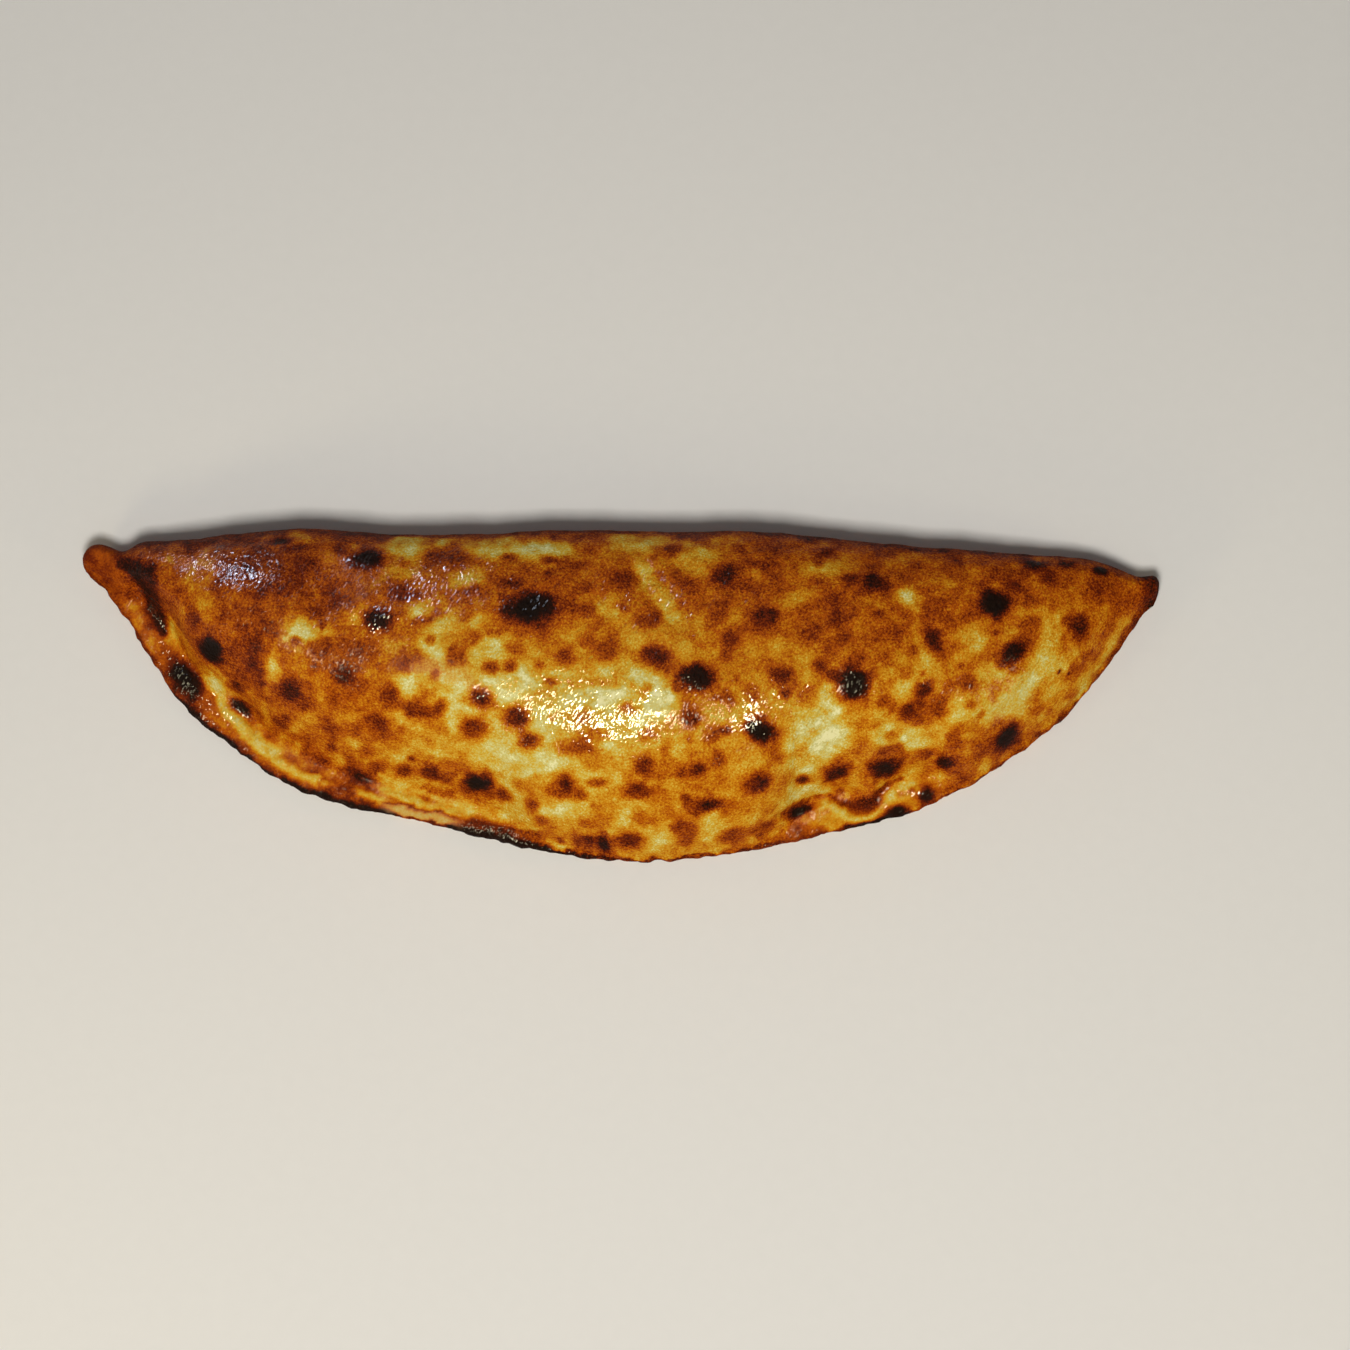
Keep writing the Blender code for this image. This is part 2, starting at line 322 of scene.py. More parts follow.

# Pale and brown stretches, a few of them painted shade, highlight or reflection: centre x and y, two
# radii, turn in degrees, tone, strength.
ZONES = (
    (-86.0, 14.0, 6.6, 4.6, 0.0, 0.1, 1.0),
    (-94.5, 6.0, 2.8, 6.5, 10.0, 0.16, 0.9),
    (-51.0, 10.5, 4.4, 4.4, 0.0, 0.1, 0.95),
    (-56.5, 0.5, 4.4, 4.2, 0.0, 0.13, 0.9),
    (-46.0, -1.5, 3.6, 6.4, 0.0, 0.13, 0.9),
    (-34.5, 9.0, 4.6, 4.0, 0.0, 0.12, 0.95),
    (-33.0, -1.5, 4.6, 4.2, 0.0, 0.07, 1.0),
    (-25.0, 1.5, 4.2, 3.8, 0.0, 0.1, 0.95),
    (-2.5, -3.5, 8.0, 4.4, 5.0, 0.04, 1.0),
    (-3.5, 3.0, 4.4, 3.0, 0.0, 0.08, 0.9),
    # Painted highlight: a pale patch on the rim of a blister, where glints fall.
    (20.5, 4.5, 2.6, 3.2, 0.0, 0.2, 0.8),
    (-82.0, 11.0, 7.0, 2.0, 5.0, 0.26, 0.7),
    (62.0, -26.5, 5.0, 2.2, 0.0, 0.2, 0.7),
    (12.0, -5.0, 4.4, 5.0, 0.0, 0.03, 1.0),
    (5.0, 2.5, 7.0, 3.0, -12.0, 0.09, 0.95),
    (-15.0, 2.0, 8.0, 3.6, 6.0, 0.2, 0.85),
    (-12.5, -6.5, 7.0, 4.6, 0.0, 0.14, 0.9),
    (4.0, -11.0, 8.0, 3.0, 0.0, 0.17, 0.8),
    (47.0, -5.0, 3.4, 4.0, -20.0, 0.16, 0.7),
    (55.5, -13.5, 6.0, 9.4, 8.0, 0.0, 1.0),
    (49.0, -12.0, 4.6, 5.6, 0.0, 0.09, 0.9),
    (56.5, -3.5, 2.8, 3.6, 0.0, 0.12, 0.85),
    (51.0, -28.0, 7.6, 3.2, 20.0, 0.14, 0.9),
    (54.0, -21.0, 5.4, 3.4, 0.0, 0.09, 0.95),
    (45.0, -21.0, 4.0, 2.4, 0.0, 0.18, 0.7),
    (64.0, -19.0, 4.0, 2.6, 10.0, 0.2, 0.6),
    (60.0, -36.0, 7.0, 2.4, 8.0, 0.14, 0.95),
    (79.0, -28.5, 5.0, 2.0, 25.0, 0.2, 0.8),
    (72.0, -12.5, 3.2, 3.2, 0.0, 0.09, 0.9),
    (80.5, -12.5, 3.2, 3.2, 0.0, 0.09, 0.9),
    (11.0, 25.0, 10.0, 3.2, -55.0, 0.14, 0.9),
    (18.0, 8.5, 2.6, 4.2, 10.0, 0.16, 0.85),
    (4.5, 12.0, 3.2, 4.4, 0.0, 0.18, 0.75),
    (23.0, 13.0, 2.8, 2.5, 0.0, 0.3, 0.5),
    (25.0, -38.0, 4.5, 3.4, 0.0, 0.14, 0.9),
    (8.0, -39.5, 6.0, 3.4, 0.0, 0.13, 0.9),
    (18.0, -43.5, 28.0, 2.2, 0.0, 0.27, 0.8),
    (-22.0, -42.0, 7.0, 2.8, -12.0, 0.17, 0.85),
    (79.0, 24.0, 2.4, 4.4, 25.0, 0.16, 0.9),
    (49.5, 24.0, 2.8, 2.8, 0.0, 0.2, 0.7),
    (56.5, 33.5, 5.0, 2.2, 0.0, 0.2, 0.8),
    (21.0, 34.5, 7.0, 4.6, 0.0, 0.2, 0.75),
    (21.5, 13.0, 2.6, 6.0, 0.0, 0.24, 0.6),
    (36.0, 34.0, 4.0, 2.5, 0.0, 0.28, 0.6),
    (57.0, 11.0, 3.0, 3.0, 0.0, 0.24, 0.7),
    (80.0, 8.5, 1.9, 3.0, 0.0, 0.26, 0.6),
    (110.0, 1.0, 9.0, 3.6, 50.0, 0.12, 0.95),
    (95.0, 14.0, 5.0, 2.4, 0.0, 0.24, 0.6),
    (118.5, 14.5, 3.4, 7.6, -14.0, 0.1, 0.95),
    (100.5, 9.0, 5.4, 4.6, 0.0, 0.18, 0.95),
    (83.0, 6.5, 3.4, 3.4, 0.0, 0.2, 0.85),
    (87.0, -12.0, 3.6, 2.8, 0.0, 0.17, 0.9),
    (-134.0, 37.5, 4.0, 3.0, 0.0, 0.36, 0.8),
    (103.0, -6.0, 5.0, 3.4, 30.0, 0.15, 0.85),
    (97.5, -9.5, 4.0, 2.4, 30.0, 0.2, 0.7),
    (121.0, 6.5, 5.0, 2.8, 45.0, 0.22, 0.7),
    (134.5, 21.5, 3.4, 3.4, 0.0, 0.3, 0.7),
    (134.0, 12.5, 3.9, 2.8, 35.0, 0.3, 0.5),
    (-47.5, -15.0, 7.0, 3.0, -25.0, 0.2, 0.6),
    (-74.0, -15.0, 2.8, 3.6, 0.0, 0.14, 0.85),
    (-48.0, -32.0, 9.4, 1.7, -16.0, 0.16, 0.9),
    (-28.0, -23.0, 9.0, 4.4, 0.0, 0.13, 0.95),
    (-17.0, -32.5, 8.0, 3.2, -10.0, 0.14, 0.9),
    (-36.0, -16.5, 5.4, 4.4, 0.0, 0.13, 0.9),
    (0.0, -15.5, 14.0, 3.0, 2.0, 0.16, 0.9),
    (-20.0, -14.0, 11.0, 3.4, -30.0, 0.16, 0.85),
    (15.0, -26.0, 3.0, 2.4, 0.0, 0.2, 0.7),
    (28.0, -18.0, 3.6, 2.4, 0.0, 0.2, 0.7),
    # Painted shade: the groove behind the lip, given a darker tone than its pale dough.
    (-54.0, -27.5, 15.0, 2.4, -17.0, 0.32, 0.8),
    # Partly painted light: a pale band beside the burnt streak, on the lit slope of the dome's foot.
    (-124.4, 15.5, 2.3, 8.5, 14.0, 0.18, 0.9),
    (-25.0, 38.5, 15.0, 3.8, 0.0, 0.12, 0.95),
    (-60.0, 38.0, 12.0, 4.0, 0.0, 0.14, 0.95),
    (-69.0, 12.5, 7.0, 2.2, 8.0, 0.24, 0.6),
    (-90.0, 41.5, 8.0, 2.0, 0.0, 0.3, 0.7),
    (8.0, 40.5, 14.0, 3.0, 0.0, 0.17, 0.85),
    (-56.0, 21.5, 6.0, 3.6, 10.0, 0.18, 0.95),
    (-71.0, 19.5, 3.6, 3.4, 0.0, 0.22, 0.85),
    (-42.0, 29.0, 6.4, 3.2, 10.0, 0.19, 0.9),
    (-48.0, 16.0, 7.0, 2.8, 20.0, 0.17, 0.85),
    (32.5, -4.5, 3.9, 4.0, 0.0, 0.26, 0.7),
    (26.0, -10.5, 2.5, 2.2, 0.0, 0.1, 0.7),
    (92.5, 8.5, 3.9, 4.4, 0.0, 0.26, 0.6),
    (-113.5, 24.0, 3.9, 3.9, 0.0, 0.28, 0.6),
    (-103.0, 8.5, 4.4, 5.0, 0.0, 0.66, 0.6),
    (-119.0, 32.0, 10.0, 6.0, 5.0, 0.31, 0.8),
    (64.0, -13.0, 2.8, 3.3, 0.0, 0.2, 0.6),
    (-89.0, -23.0, 6.1, 1.4, -28.0, 0.16, 0.8),
    (-61.0, 9.0, 2.2, 2.8, 0.0, 0.26, 0.5),
    (-74.5, -4.0, 3.3, 2.2, 0.0, 0.26, 0.5),
    (-133.0, 17.5, 12.0, 2.8, -60.0, 0.3, 0.8),
    # Painted reflection: a pale strip for a golden reflection on the wet dough by the left lip.
    (-109.3, -1.5, 9.0, 2.6, -52.0, 0.1, 0.95),
    (-98.0, -13.5, 9.0, 2.0, -38.0, 0.14, 0.9),
    (-92.0, -8.0, 4.4, 2.6, 0.0, 0.22, 0.8),
    (-68.0, -28.5, 4.0, 1.8, -15.0, 0.3, 0.5),
    (-50.5, -20.5, 3.0, 2.2, 0.0, 0.16, 0.7),
    (-22.0, -20.5, 5.6, 4.0, 0.0, 0.1, 0.95),
    (-76.0, 12.0, 6.0, 2.2, 0.0, 0.24, 0.7),
    (-38.0, 16.5, 4.4, 2.4, 0.0, 0.14, 0.9),
    (44.5, -12.0, 3.0, 4.0, 0.0, 0.2, 0.7),
    (50.5, 0.5, 4.0, 3.4, 0.0, 0.26, 0.6),
    (122.0, 21.5, 3.0, 4.6, -10.0, 0.22, 0.7),
    (-8.0, 20.5, 3.4, 4.0, 0.0, 0.3, 0.6),
    (-62.0, 30.5, 3.4, 3.0, 0.0, 0.26, 0.7),
    (-42.0, 22.5, 4.0, 1.8, 0.0, 0.58, 0.7),
    (-30.0, 20.5, 3.6, 1.6, 0.0, 0.6, 0.7),
    (-15.0, 25.0, 3.0, 2.4, 0.0, 0.26, 0.6),
    (15.0, -17.0, 3.0, 2.6, 0.0, 0.14, 0.8),
    (28.0, -20.0, 3.0, 2.4, 0.0, 0.16, 0.7),
    (14.0, -38.0, 3.0, 3.0, 0.0, 0.2, 0.6),
    (130.5, 21.5, 3.0, 3.0, 0.0, 0.28, 0.6),
    (-38.0, -32.6, 17.0, 1.7, -12.0, 0.12, 0.9),
    (-94.0, 30.0, 14.0, 6.6, -5.0, 0.7, 0.85),
    (-77.0, 22.0, 8.0, 4.6, 10.0, 0.68, 0.85),
    (-98.5, 14.0, 5.0, 9.0, 0.0, 0.66, 0.85),
    (-58.0, 13.5, 6.0, 2.4, 10.0, 0.6, 0.7),
    (-104.0, 4.0, 5.4, 5.0, -50.0, 0.66, 0.85),
    (-76.0, -3.0, 5.0, 4.0, 0.0, 0.58, 0.7),
    (-84.0, 2.0, 5.0, 3.6, 0.0, 0.58, 0.7),
    (-86.0, -14.0, 5.0, 3.0, -25.0, 0.56, 0.6),
    (-50.0, -9.5, 3.4, 5.4, 10.0, 0.52, 0.6),
    (-80.0, -14.0, 8.0, 4.0, -20.0, 0.54, 0.6),
    (-109.0, -12.5, 6.0, 1.8, -42.0, 0.66, 0.8),
    (-46.0, -20.5, 5.0, 2.6, 0.0, 0.54, 0.6),
    (17.0, 25.0, 9.4, 5.0, -10.0, 0.6, 0.5),
    (32.5, 23.0, 16.6, 6.6, 0.0, 0.56, 0.6),
    (62.5, 17.5, 12.7, 7.2, 0.0, 0.58, 0.6),
    (50.5, 27.0, 8.0, 3.6, 0.0, 0.6, 0.6),
    (38.0, 14.0, 8.0, 4.0, 0.0, 0.6, 0.6),
    (-25.0, 26.5, 9.0, 4.0, 0.0, 0.58, 0.7),
    (-1.5, 28.0, 3.6, 5.0, 0.0, 0.6, 0.6),
    (19.0, -21.5, 13.0, 5.0, 0.0, 0.53, 0.6),
    (88.0, 25.5, 8.0, 6.0, 0.0, 0.58, 0.6),
    (19.0, 9.0, 4.4, 2.2, 0.0, 0.56, 0.4),
    (-9.0, -8.5, 2.2, 3.0, -20.0, 0.56, 0.7),
    (-6.0, -14.5, 5.0, 2.0, 0.0, 0.52, 0.7),
    (7.5, -14.5, 3.0, 2.4, 0.0, 0.5, 0.6),
    (-30.0, 15.5, 8.3, 2.6, 0.0, 0.56, 0.6),
    (129.5, 27.0, 7.2, 4.0, 0.0, 0.6, 0.6),
    (97.0, -18.5, 9.0, 3.6, 35.0, 0.62, 0.9),
    (112.0, -12.5, 8.0, 2.4, 38.0, 0.6, 0.75),
    (72.0, -27.0, 7.0, 2.2, 6.0, 0.56, 0.5),
    (46.0, -39.5, 8.0, 2.6, 15.0, 0.74, 0.9),
    (11.0, 5.0, 6.0, 2.2, -15.0, 0.56, 0.6),
    (91.0, 1.5, 3.4, 3.0, 0.0, 0.56, 0.6),
    (60.0, 10.0, 4.4, 4.0, 0.0, 0.64, 0.8),
    (78.0, 3.5, 3.0, 3.0, 0.0, 0.56, 0.7),
    (81.0, -8.0, 3.4, 2.4, 0.0, 0.56, 0.7),
    (-46.0, 33.0, 5.0, 2.6, 0.0, 0.56, 0.7),
    (-68.0, -4.0, 7.0, 3.0, 0.0, 0.54, 0.6),
    (141.0, 27.0, 5.0, 5.0, 0.0, 0.64, 0.7),
    (28.0, -26.5, 4.0, 2.6, 0.0, 0.54, 0.6),
    (-27.0, -26.0, 4.0, 2.4, 0.0, 0.54, 0.6),
    (129.0, 9.0, 7.0, 2.4, 48.0, 0.54, 0.7),
    (105.5, 1.5, 4.4, 2.2, 20.0, 0.58, 0.75),
    (-8.0, -36.0, 5.0, 2.2, 0.0, 0.58, 0.6),
    (-129.5, 32.0, 6.6, 4.4, -30.0, 0.58, 0.5),
)
ZONE_CORE = 0.6
ZONE_RIM = 1.4

# The tone from which dough counts as pale, and the tone at which it is wholly so.
LEAST_PALE_TONE = 0.3
FULL_PALE_TONE = 0.1

# Main scorched blisters: centre x and y, two radii, turn in degrees, depth of tone.
MARKS = (
    (-112.6, 10.9, 4.7, 5.1, 0.0, 0.98),
    (-121.8, 5.0, 7.3, 3.8, -52.0, 0.98),
    (-105.5, -2.5, 3.6, 1.7, -38.0, 0.95),
    (-105.5, 2.5, 2.1, 2.3, 0.0, 0.87),
    (-100.3, 6.5, 3.2, 3.7, 0.0, 0.88),
    (-116.5, 18.0, 2.0, 2.4, 0.0, 0.84),
    (-124.5, 24.5, 1.4, 1.1, 0.0, 0.7),
    (-118.0, 24.0, 1.4, 1.4, 0.0, 0.7),
    (-108.5, 18.0, 1.4, 1.1, 0.0, 0.68),
    (-94.0, 40.5, 3.6, 1.4, 0.0, 0.9),
    (-109.5, 42.0, 2.5, 1.1, 0.0, 0.78),
    (-127.5, 41.0, 2.5, 1.4, 0.0, 0.76),
    (-77.0, 42.0, 3.6, 1.1, 0.0, 0.76),
    (-69.0, 35.5, 4.4, 4.0, 5.0, 0.95),
    (-48.0, 35.5, 5.0, 2.2, 0.0, 0.84),
    (-60.5, 25.5, 3.3, 2.8, 0.0, 0.84),
    (-65.5, 17.5, 4.4, 3.0, 15.0, 0.93),
    (-75.0, 2.5, 2.8, 2.8, 60.0, 0.88),
    (-90.0, -0.5, 3.6, 3.9, 0.0, 0.9),
    (-78.5, -2.5, 1.7, 1.7, 0.0, 0.74),
    (-55.0, -6.5, 3.6, 2.2, -10.0, 0.82),
    (-44.0, 7.5, 2.2, 2.2, 0.0, 0.76),
    (-88.5, 12.0, 1.4, 1.1, 0.0, 0.72),
    (-63.5, -2.5, 2.5, 2.2, 0.0, 0.76),
    (-66.5, -10.0, 3.9, 3.0, -20.0, 0.78),
    (-81.0, -9.0, 2.2, 2.2, 0.0, 0.76),
    (-84.0, -17.5, 2.2, 1.9, -20.0, 0.8),
    (-73.0, -22.0, 3.9, 1.9, -22.0, 0.9),
    (-77.0, -25.5, 2.8, 1.4, -10.0, 0.8),
    (-59.5, -21.0, 2.5, 1.9, 30.0, 0.8),
    (-52.0, -21.5, 3.3, 1.9, -15.0, 0.84),
    (-57.5, -18.0, 1.1, 0.8, 0.0, 0.74),
    (-39.5, -24.5, 4.4, 3.3, -8.0, 0.97),
    (-72.5, 12.0, 2.2, 1.7, 0.0, 0.7),
    (-51.5, 12.0, 1.1, 1.1, 0.0, 0.7),
    (-54.5, 17.5, 1.4, 1.1, 0.0, 0.7),
    (-86.0, 35.0, 2.8, 1.7, 0.0, 0.78),
    (-100.0, 35.0, 3.9, 2.2, -15.0, 0.8),
    (-88.5, 27.5, 2.8, 1.7, -10.0, 0.76),
    (-38.0, -4.0, 2.8, 2.5, 0.0, 0.88),
    (-40.0, -11.5, 3.3, 2.5, 10.0, 0.82),
    (-28.0, -9.5, 3.0, 2.8, 0.0, 0.86),
    (-24.5, -15.0, 2.2, 1.9, 0.0, 0.8),
    (-32.5, -28.0, 2.2, 1.7, 0.0, 0.78),
    (-24.5, -31.0, 1.9, 1.7, 0.0, 0.76),
    (-22.0, -35.0, 1.9, 1.1, 0.0, 0.72),
    (-23.8, 21.2, 7.2, 5.0, 3.0, 1.0),
    (-30.0, 20.5, 3.3, 1.7, 5.0, 0.92),
    (-29.0, 27.5, 2.8, 1.9, 0.0, 0.82),
    (-30.5, 35.5, 2.2, 1.1, 0.0, 0.74),
    (-18.5, 35.0, 2.5, 1.1, 0.0, 0.76),
    (-10.5, 33.0, 2.2, 1.1, 0.0, 0.78),
    (-10.0, 27.0, 2.2, 1.4, 0.0, 0.76),
    (-9.0, 20.5, 2.2, 1.9, 0.0, 0.74),
    (0.5, 29.0, 3.6, 2.5, -10.0, 0.78),
    (-15.0, 7.5, 2.5, 2.2, 0.0, 0.82),
    (-3.0, 9.5, 2.5, 3.0, 30.0, 0.78),
    (-9.5, 12.0, 1.7, 1.7, 0.0, 0.7),
    (-35.0, 4.0, 1.9, 1.7, 0.0, 0.76),
    (-30.0, 5.0, 1.4, 1.4, 0.0, 0.74),
    (-29.0, 10.5, 1.7, 1.1, 0.0, 0.7),
    (-22.0, 5.5, 1.1, 1.1, 0.0, 0.7),
    (-18.5, 1.0, 1.4, 1.1, 0.0, 0.68),
    (-11.5, -17.0, 4.4, 1.9, -8.0, 0.68),
    (-36.0, -36.2, 8.0, 1.7, -12.0, 0.88),
    (-79.0, -26.6, 3.4, 1.3, -15.0, 0.74),
    (-15.0, -27.0, 2.2, 2.8, 0.0, 0.84),
    (-6.0, -26.0, 2.2, 1.1, 0.0, 0.74),
    (-11.0, -29.5, 1.7, 1.4, 0.0, 0.7),
    (-9.0, -40.5, 3.3, 1.7, 0.0, 0.84),
    (-5.0, -41.5, 2.2, 3.0, 0.0, 0.92),
    (2.5, -40.5, 3.9, 1.9, 0.0, 0.86),
    (7.0, -21.5, 2.2, 2.8, 0.0, 0.86),
    (5.5, -28.5, 3.3, 2.2, 0.0, 0.84),
    (8.0, 18.0, 2.2, 1.9, 0.0, 0.76),
    (10.0, 7.5, 4.1, 2.5, -20.0, 0.88),
    (21.0, 1.5, 5.2, 3.9, 8.0, 0.95),
    (14.0, 38.5, 3.3, 1.4, 0.0, 0.82),
    (25.5, 18.5, 1.9, 1.7, 0.0, 0.74),
    (19.5, -9.5, 2.2, 2.5, 0.0, 0.84),
    (28.5, -12.5, 1.4, 1.1, 0.0, 0.76),
    (20.5, -23.0, 2.2, 1.7, 0.0, 0.84),
    (24.5, -31.0, 3.3, 1.4, 5.0, 0.9),
    (17.5, -30.0, 1.1, 0.8, 0.0, 0.8),
    (17.5, -37.5, 3.0, 2.5, 0.0, 0.76),
    (29.0, 30.5, 3.3, 3.6, -30.0, 0.88),
    (38.5, 33.5, 2.8, 1.4, 0.0, 0.82),
    (37.5, 26.5, 2.8, 1.4, 0.0, 0.78),
    (30.0, 12.0, 2.2, 2.2, 0.0, 0.84),
    (28.5, 7.0, 1.7, 1.7, 0.0, 0.78),
    (40.0, 18.5, 4.1, 3.3, 20.0, 0.88),
    (43.5, 2.5, 2.5, 2.5, 0.0, 0.86),
    (38.5, -12.5, 4.1, 3.6, -25.0, 0.97),
    (37.5, -25.5, 3.6, 3.3, 0.0, 0.88),
    (30.0, -39.0, 2.8, 2.2, 0.0, 0.76),
    (39.5, -36.5, 3.3, 1.9, 15.0, 0.78),
    (49.5, -32.0, 4.4, 1.4, 24.0, 0.97),
    (50.0, -24.0, 1.9, 1.4, 0.0, 0.88),
    (50.5, 17.0, 3.9, 3.3, 0.0, 0.72),
    (54.0, 5.0, 1.9, 2.2, 0.0, 0.84),
    (55.5, 38.5, 3.3, 1.1, 0.0, 0.8),
    (59.5, -22.0, 4.1, 2.5, 24.0, 0.9),
    (60.5, 13.0, 2.5, 2.2, 0.0, 0.76),
    (61.5, 20.0, 2.2, 1.9, 0.0, 0.72),
    (64.0, 0.0, 4.1, 4.7, 0.0, 0.99),
    (70.0, 28.5, 4.4, 2.8, -5.0, 0.92),
    (64.5, 29.5, 3.3, 1.7, 0.0, 0.82),
    (70.5, 19.5, 1.4, 1.4, 0.0, 0.8),
    (74.5, 14.5, 3.3, 2.8, 0.0, 0.72),
    (67.5, 12.0, 2.2, 1.9, 0.0, 0.7),
    (86.0, 12.5, 2.5, 3.3, 0.0, 0.9),
    (83.0, -0.5, 2.5, 1.9, 0.0, 0.88),
    (78.5, -6.0, 2.2, 2.5, 0.0, 0.88),
    (86.5, -5.5, 1.9, 1.7, 0.0, 0.8),
    (71.5, -4.0, 1.4, 1.1, 0.0, 0.76),
    (95.5, 1.5, 1.9, 1.9, 0.0, 0.82),
    (102.5, 23.5, 4.4, 4.1, 0.0, 0.98),
    (107.5, 10.0, 3.9, 2.8, 25.0, 0.92),
    (108.5, 28.5, 3.0, 1.9, -25.0, 0.84),
    (114.5, 35.0, 3.9, 1.9, -25.0, 0.92),
    (117.5, 32.0, 2.5, 1.9, -20.0, 0.86),
    (123.0, 35.5, 3.0, 1.4, 5.0, 0.9),
    (132.5, 34.0, 2.5, 1.7, 0.0, 0.94),
    (126.5, 18.5, 2.8, 3.0, 0.0, 0.9),
    (113.5, 17.5, 1.9, 1.7, 0.0, 0.76),
    (106.0, -12.0, 5.2, 3.0, 38.0, 0.93),
    (89.5, -19.0, 3.6, 1.9, 12.0, 0.92),
    (72.5, -20.5, 4.7, 2.8, 3.0, 0.93),
    (68.5, -29.5, 3.6, 2.2, 15.0, 0.84),
    (85.0, -27.0, 2.5, 2.2, 0.0, 0.93),
    (77.0, -31.5, 3.3, 1.7, 12.0, 0.95),
    (84.0, -16.5, 1.7, 1.4, 0.0, 0.74),
    (81.0, 34.0, 1.7, 1.4, 0.0, 0.76),
    (73.5, 37.5, 1.7, 1.1, 0.0, 0.74),
    (90.5, 38.0, 3.0, 1.1, 0.0, 0.76),
    (74.0, -13.0, 1.4, 1.1, 0.0, 0.6),
    (95.5, 19.5, 1.7, 1.4, 0.0, 0.74),
    (121.0, 5.5, 0.6, 0.5, 0.0, 0.97),
    (124.0, 5.5, 0.5, 0.5, 0.0, 0.9),
    (100.5, 36.5, 2.2, 1.1, 0.0, 0.74),
    (79.0, 9.5, 1.7, 1.7, 0.0, 0.7),
)

# Marks short of this depth are drawn a little paler than given.
PALER_BELOW = (0.86, 0.96)
PALER_BY = 0.12

# How a scorched blister spreads, in radii, and how deep its halo is.
SCORCH_REACH = 3
SCORCH_WOBBLE = 0.4
SCORCH_CORE = (0.3, 1.35)
SCORCH_HALO = (0.7, 2.1)
HALO_TONE = 0.62
HALO_SHARE = 0.75

# The depth from which a blister stands up, how high, and how rough it is.
RAISED_FROM = 0.84
BLISTER_HEIGHT = 0.22
BLISTER_EVEN = 0.4
BLISTER_ROUGH = 1.2

# The long burnt streak by the knob: places it passes and its half width at each.
STREAK = (
    (-138.0, 36.3, 1.8),
    (-131.4, 33.2, 3.4),
    (-130.2, 25.8, 2.7),
    (-127.6, 18.0, 1.0),
)
STREAK_DEPTH = 0.86
STREAK_WOBBLE = 0.5
STREAK_CORE = (0.4, 1.4)
STREAK_HALO = (1.0, 2.1)

# Soft seeded spots, and the tone from which all of them show.
FRECKLE_SEED = 8
FRECKLE_COUNT = 1500
FRECKLE_RADII = (0.9, 2.6)
FRECKLE_DEPTHS = (0.46, 0.64)
FRECKLE_SHARES = (0.4, 0.9)
FRECKLE_FULL_TONE = 0.45
FRECKLE_LENGTH = 1.4
FRECKLE_REACH = 2
FRECKLE_WOBBLE = 0.7
FRECKLE_SPREAD = (0.1, 1.6)
FRECKLE_PALE_LOSS = 0.75

# Small seeded specks.
SPECK_SEED = 5
SPECK_COUNT = 420
SPECK_RADII = (0.7, 2.0)
SPECK_DEPTHS = (0.52, 0.7)
SPECK_LENGTHS = (1.0, 1.8)
SPECK_LEAST_TONE = 0.34

# How the sealed edge has burnt: place along the bread, width of the black rim, width of the brown one.
BURNS = (
    (-146.0, 0.0, 0.4),
    (-131.0, 0.0, 0.9),
    (-124.0, 0.3, 1.4),
    (-120.0, 1.3, 2.4),
    (-112.0, 0.8, 1.4),
    (-104.0, 0.6, 1.5),
    (-94.0, 0.8, 1.9),
    (-84.0, 1.2, 2.0),
    (-74.0, 2.0, 2.0),
    (-68.0, 1.6, 1.8),
    (-62.0, 0.2, 0.5),
    (-49.0, 0.2, 0.6),
    (-45.0, 1.5, 2.2),
    (-38.0, 2.3, 2.4),
    (-30.0, 2.4, 2.2),
    (-24.0, 1.8, 2.0),
    (-16.0, 0.5, 1.0),
    (0.0, 0.3, 0.5),
    (30.0, 0.2, 0.5),
    (48.0, 0.1, 0.8),
    (60.0, 0.3, 0.8),
    (69.0, 0.6, 1.0),
    (75.0, 1.2, 1.4),
    (82.0, 0.2, 0.8),
    (98.0, 0.0, 0.5),
    (126.0, 0.0, 0.7),
    (138.0, 0.0, 1.4),
    (145.0, 0.2, 2.2),
    (150.0, 0.6, 3.0),
)
EDGE_WOBBLE = 1.6
RIM_BROWN_TONE = 0.7
RIM_BROWN_SHARE = 0.85
RIM_BROWN_REACH = 1.4
RIM_BLACK_TONE = 0.94
RIM_BLACK_CORE = 0.5
RIM_BLACK_SPREAD = 0.5
LEAST_BLACK = (0.1, 0.6)

# Where the lip has opened and a pale layer shows, with a dark seam behind it.
OPEN_LIP_START = (-68.0, -64.0)
OPEN_LIP_END = (-47.0, -43.0)
OPEN_LIP_OUTER = (0.3, 0.9)
OPEN_LIP_INNER = (3.1, 3.5)
OPEN_LIP_TONE = 0.17
SEAM_REACH = 0.9
SEAM_DROP = 0.7
SEAM_TONE = 0.78
SEAM_SHARE = 0.7

# The golden lip and the paler groove behind it, where the lip is wide.
WIDE_LIP = (2.0, 5.0)
LIP_PLACE = 2.0
LIP_REACH = 3.6
LIP_TONE = 0.4
LIP_SHARE = 0.5
GROOVE_PLACE = 1.0
GROOVE_REACH = 2.6
GROOVE_TONE = 0.3
GROOVE_SHARE = 0.45
LIP_CALM = 0.7
LIP_CALM_SPREAD = (0.9, 1.5)

# The tips: where each tone comes in, the tone and its share, and how smooth the knob is.
KNOB = (-142.0, -135.0)
KNOB_TONE = 0.63
KNOB_CALM = 0.9
BLUNT_TIP = (145.0, 149.0)
BLUNT_TIP_WOBBLE = 2.5
BLUNT_TIP_TONE = 0.82
TIP_SHARE = 0.85

# The sole: its middle tone and how far it drifts from patch to patch.
SOLE_TONE = 0.42
SOLE_DRIFT = 0.5
SOLE_MIDDLE = 0.45
SOLE_SHARE = 0.85

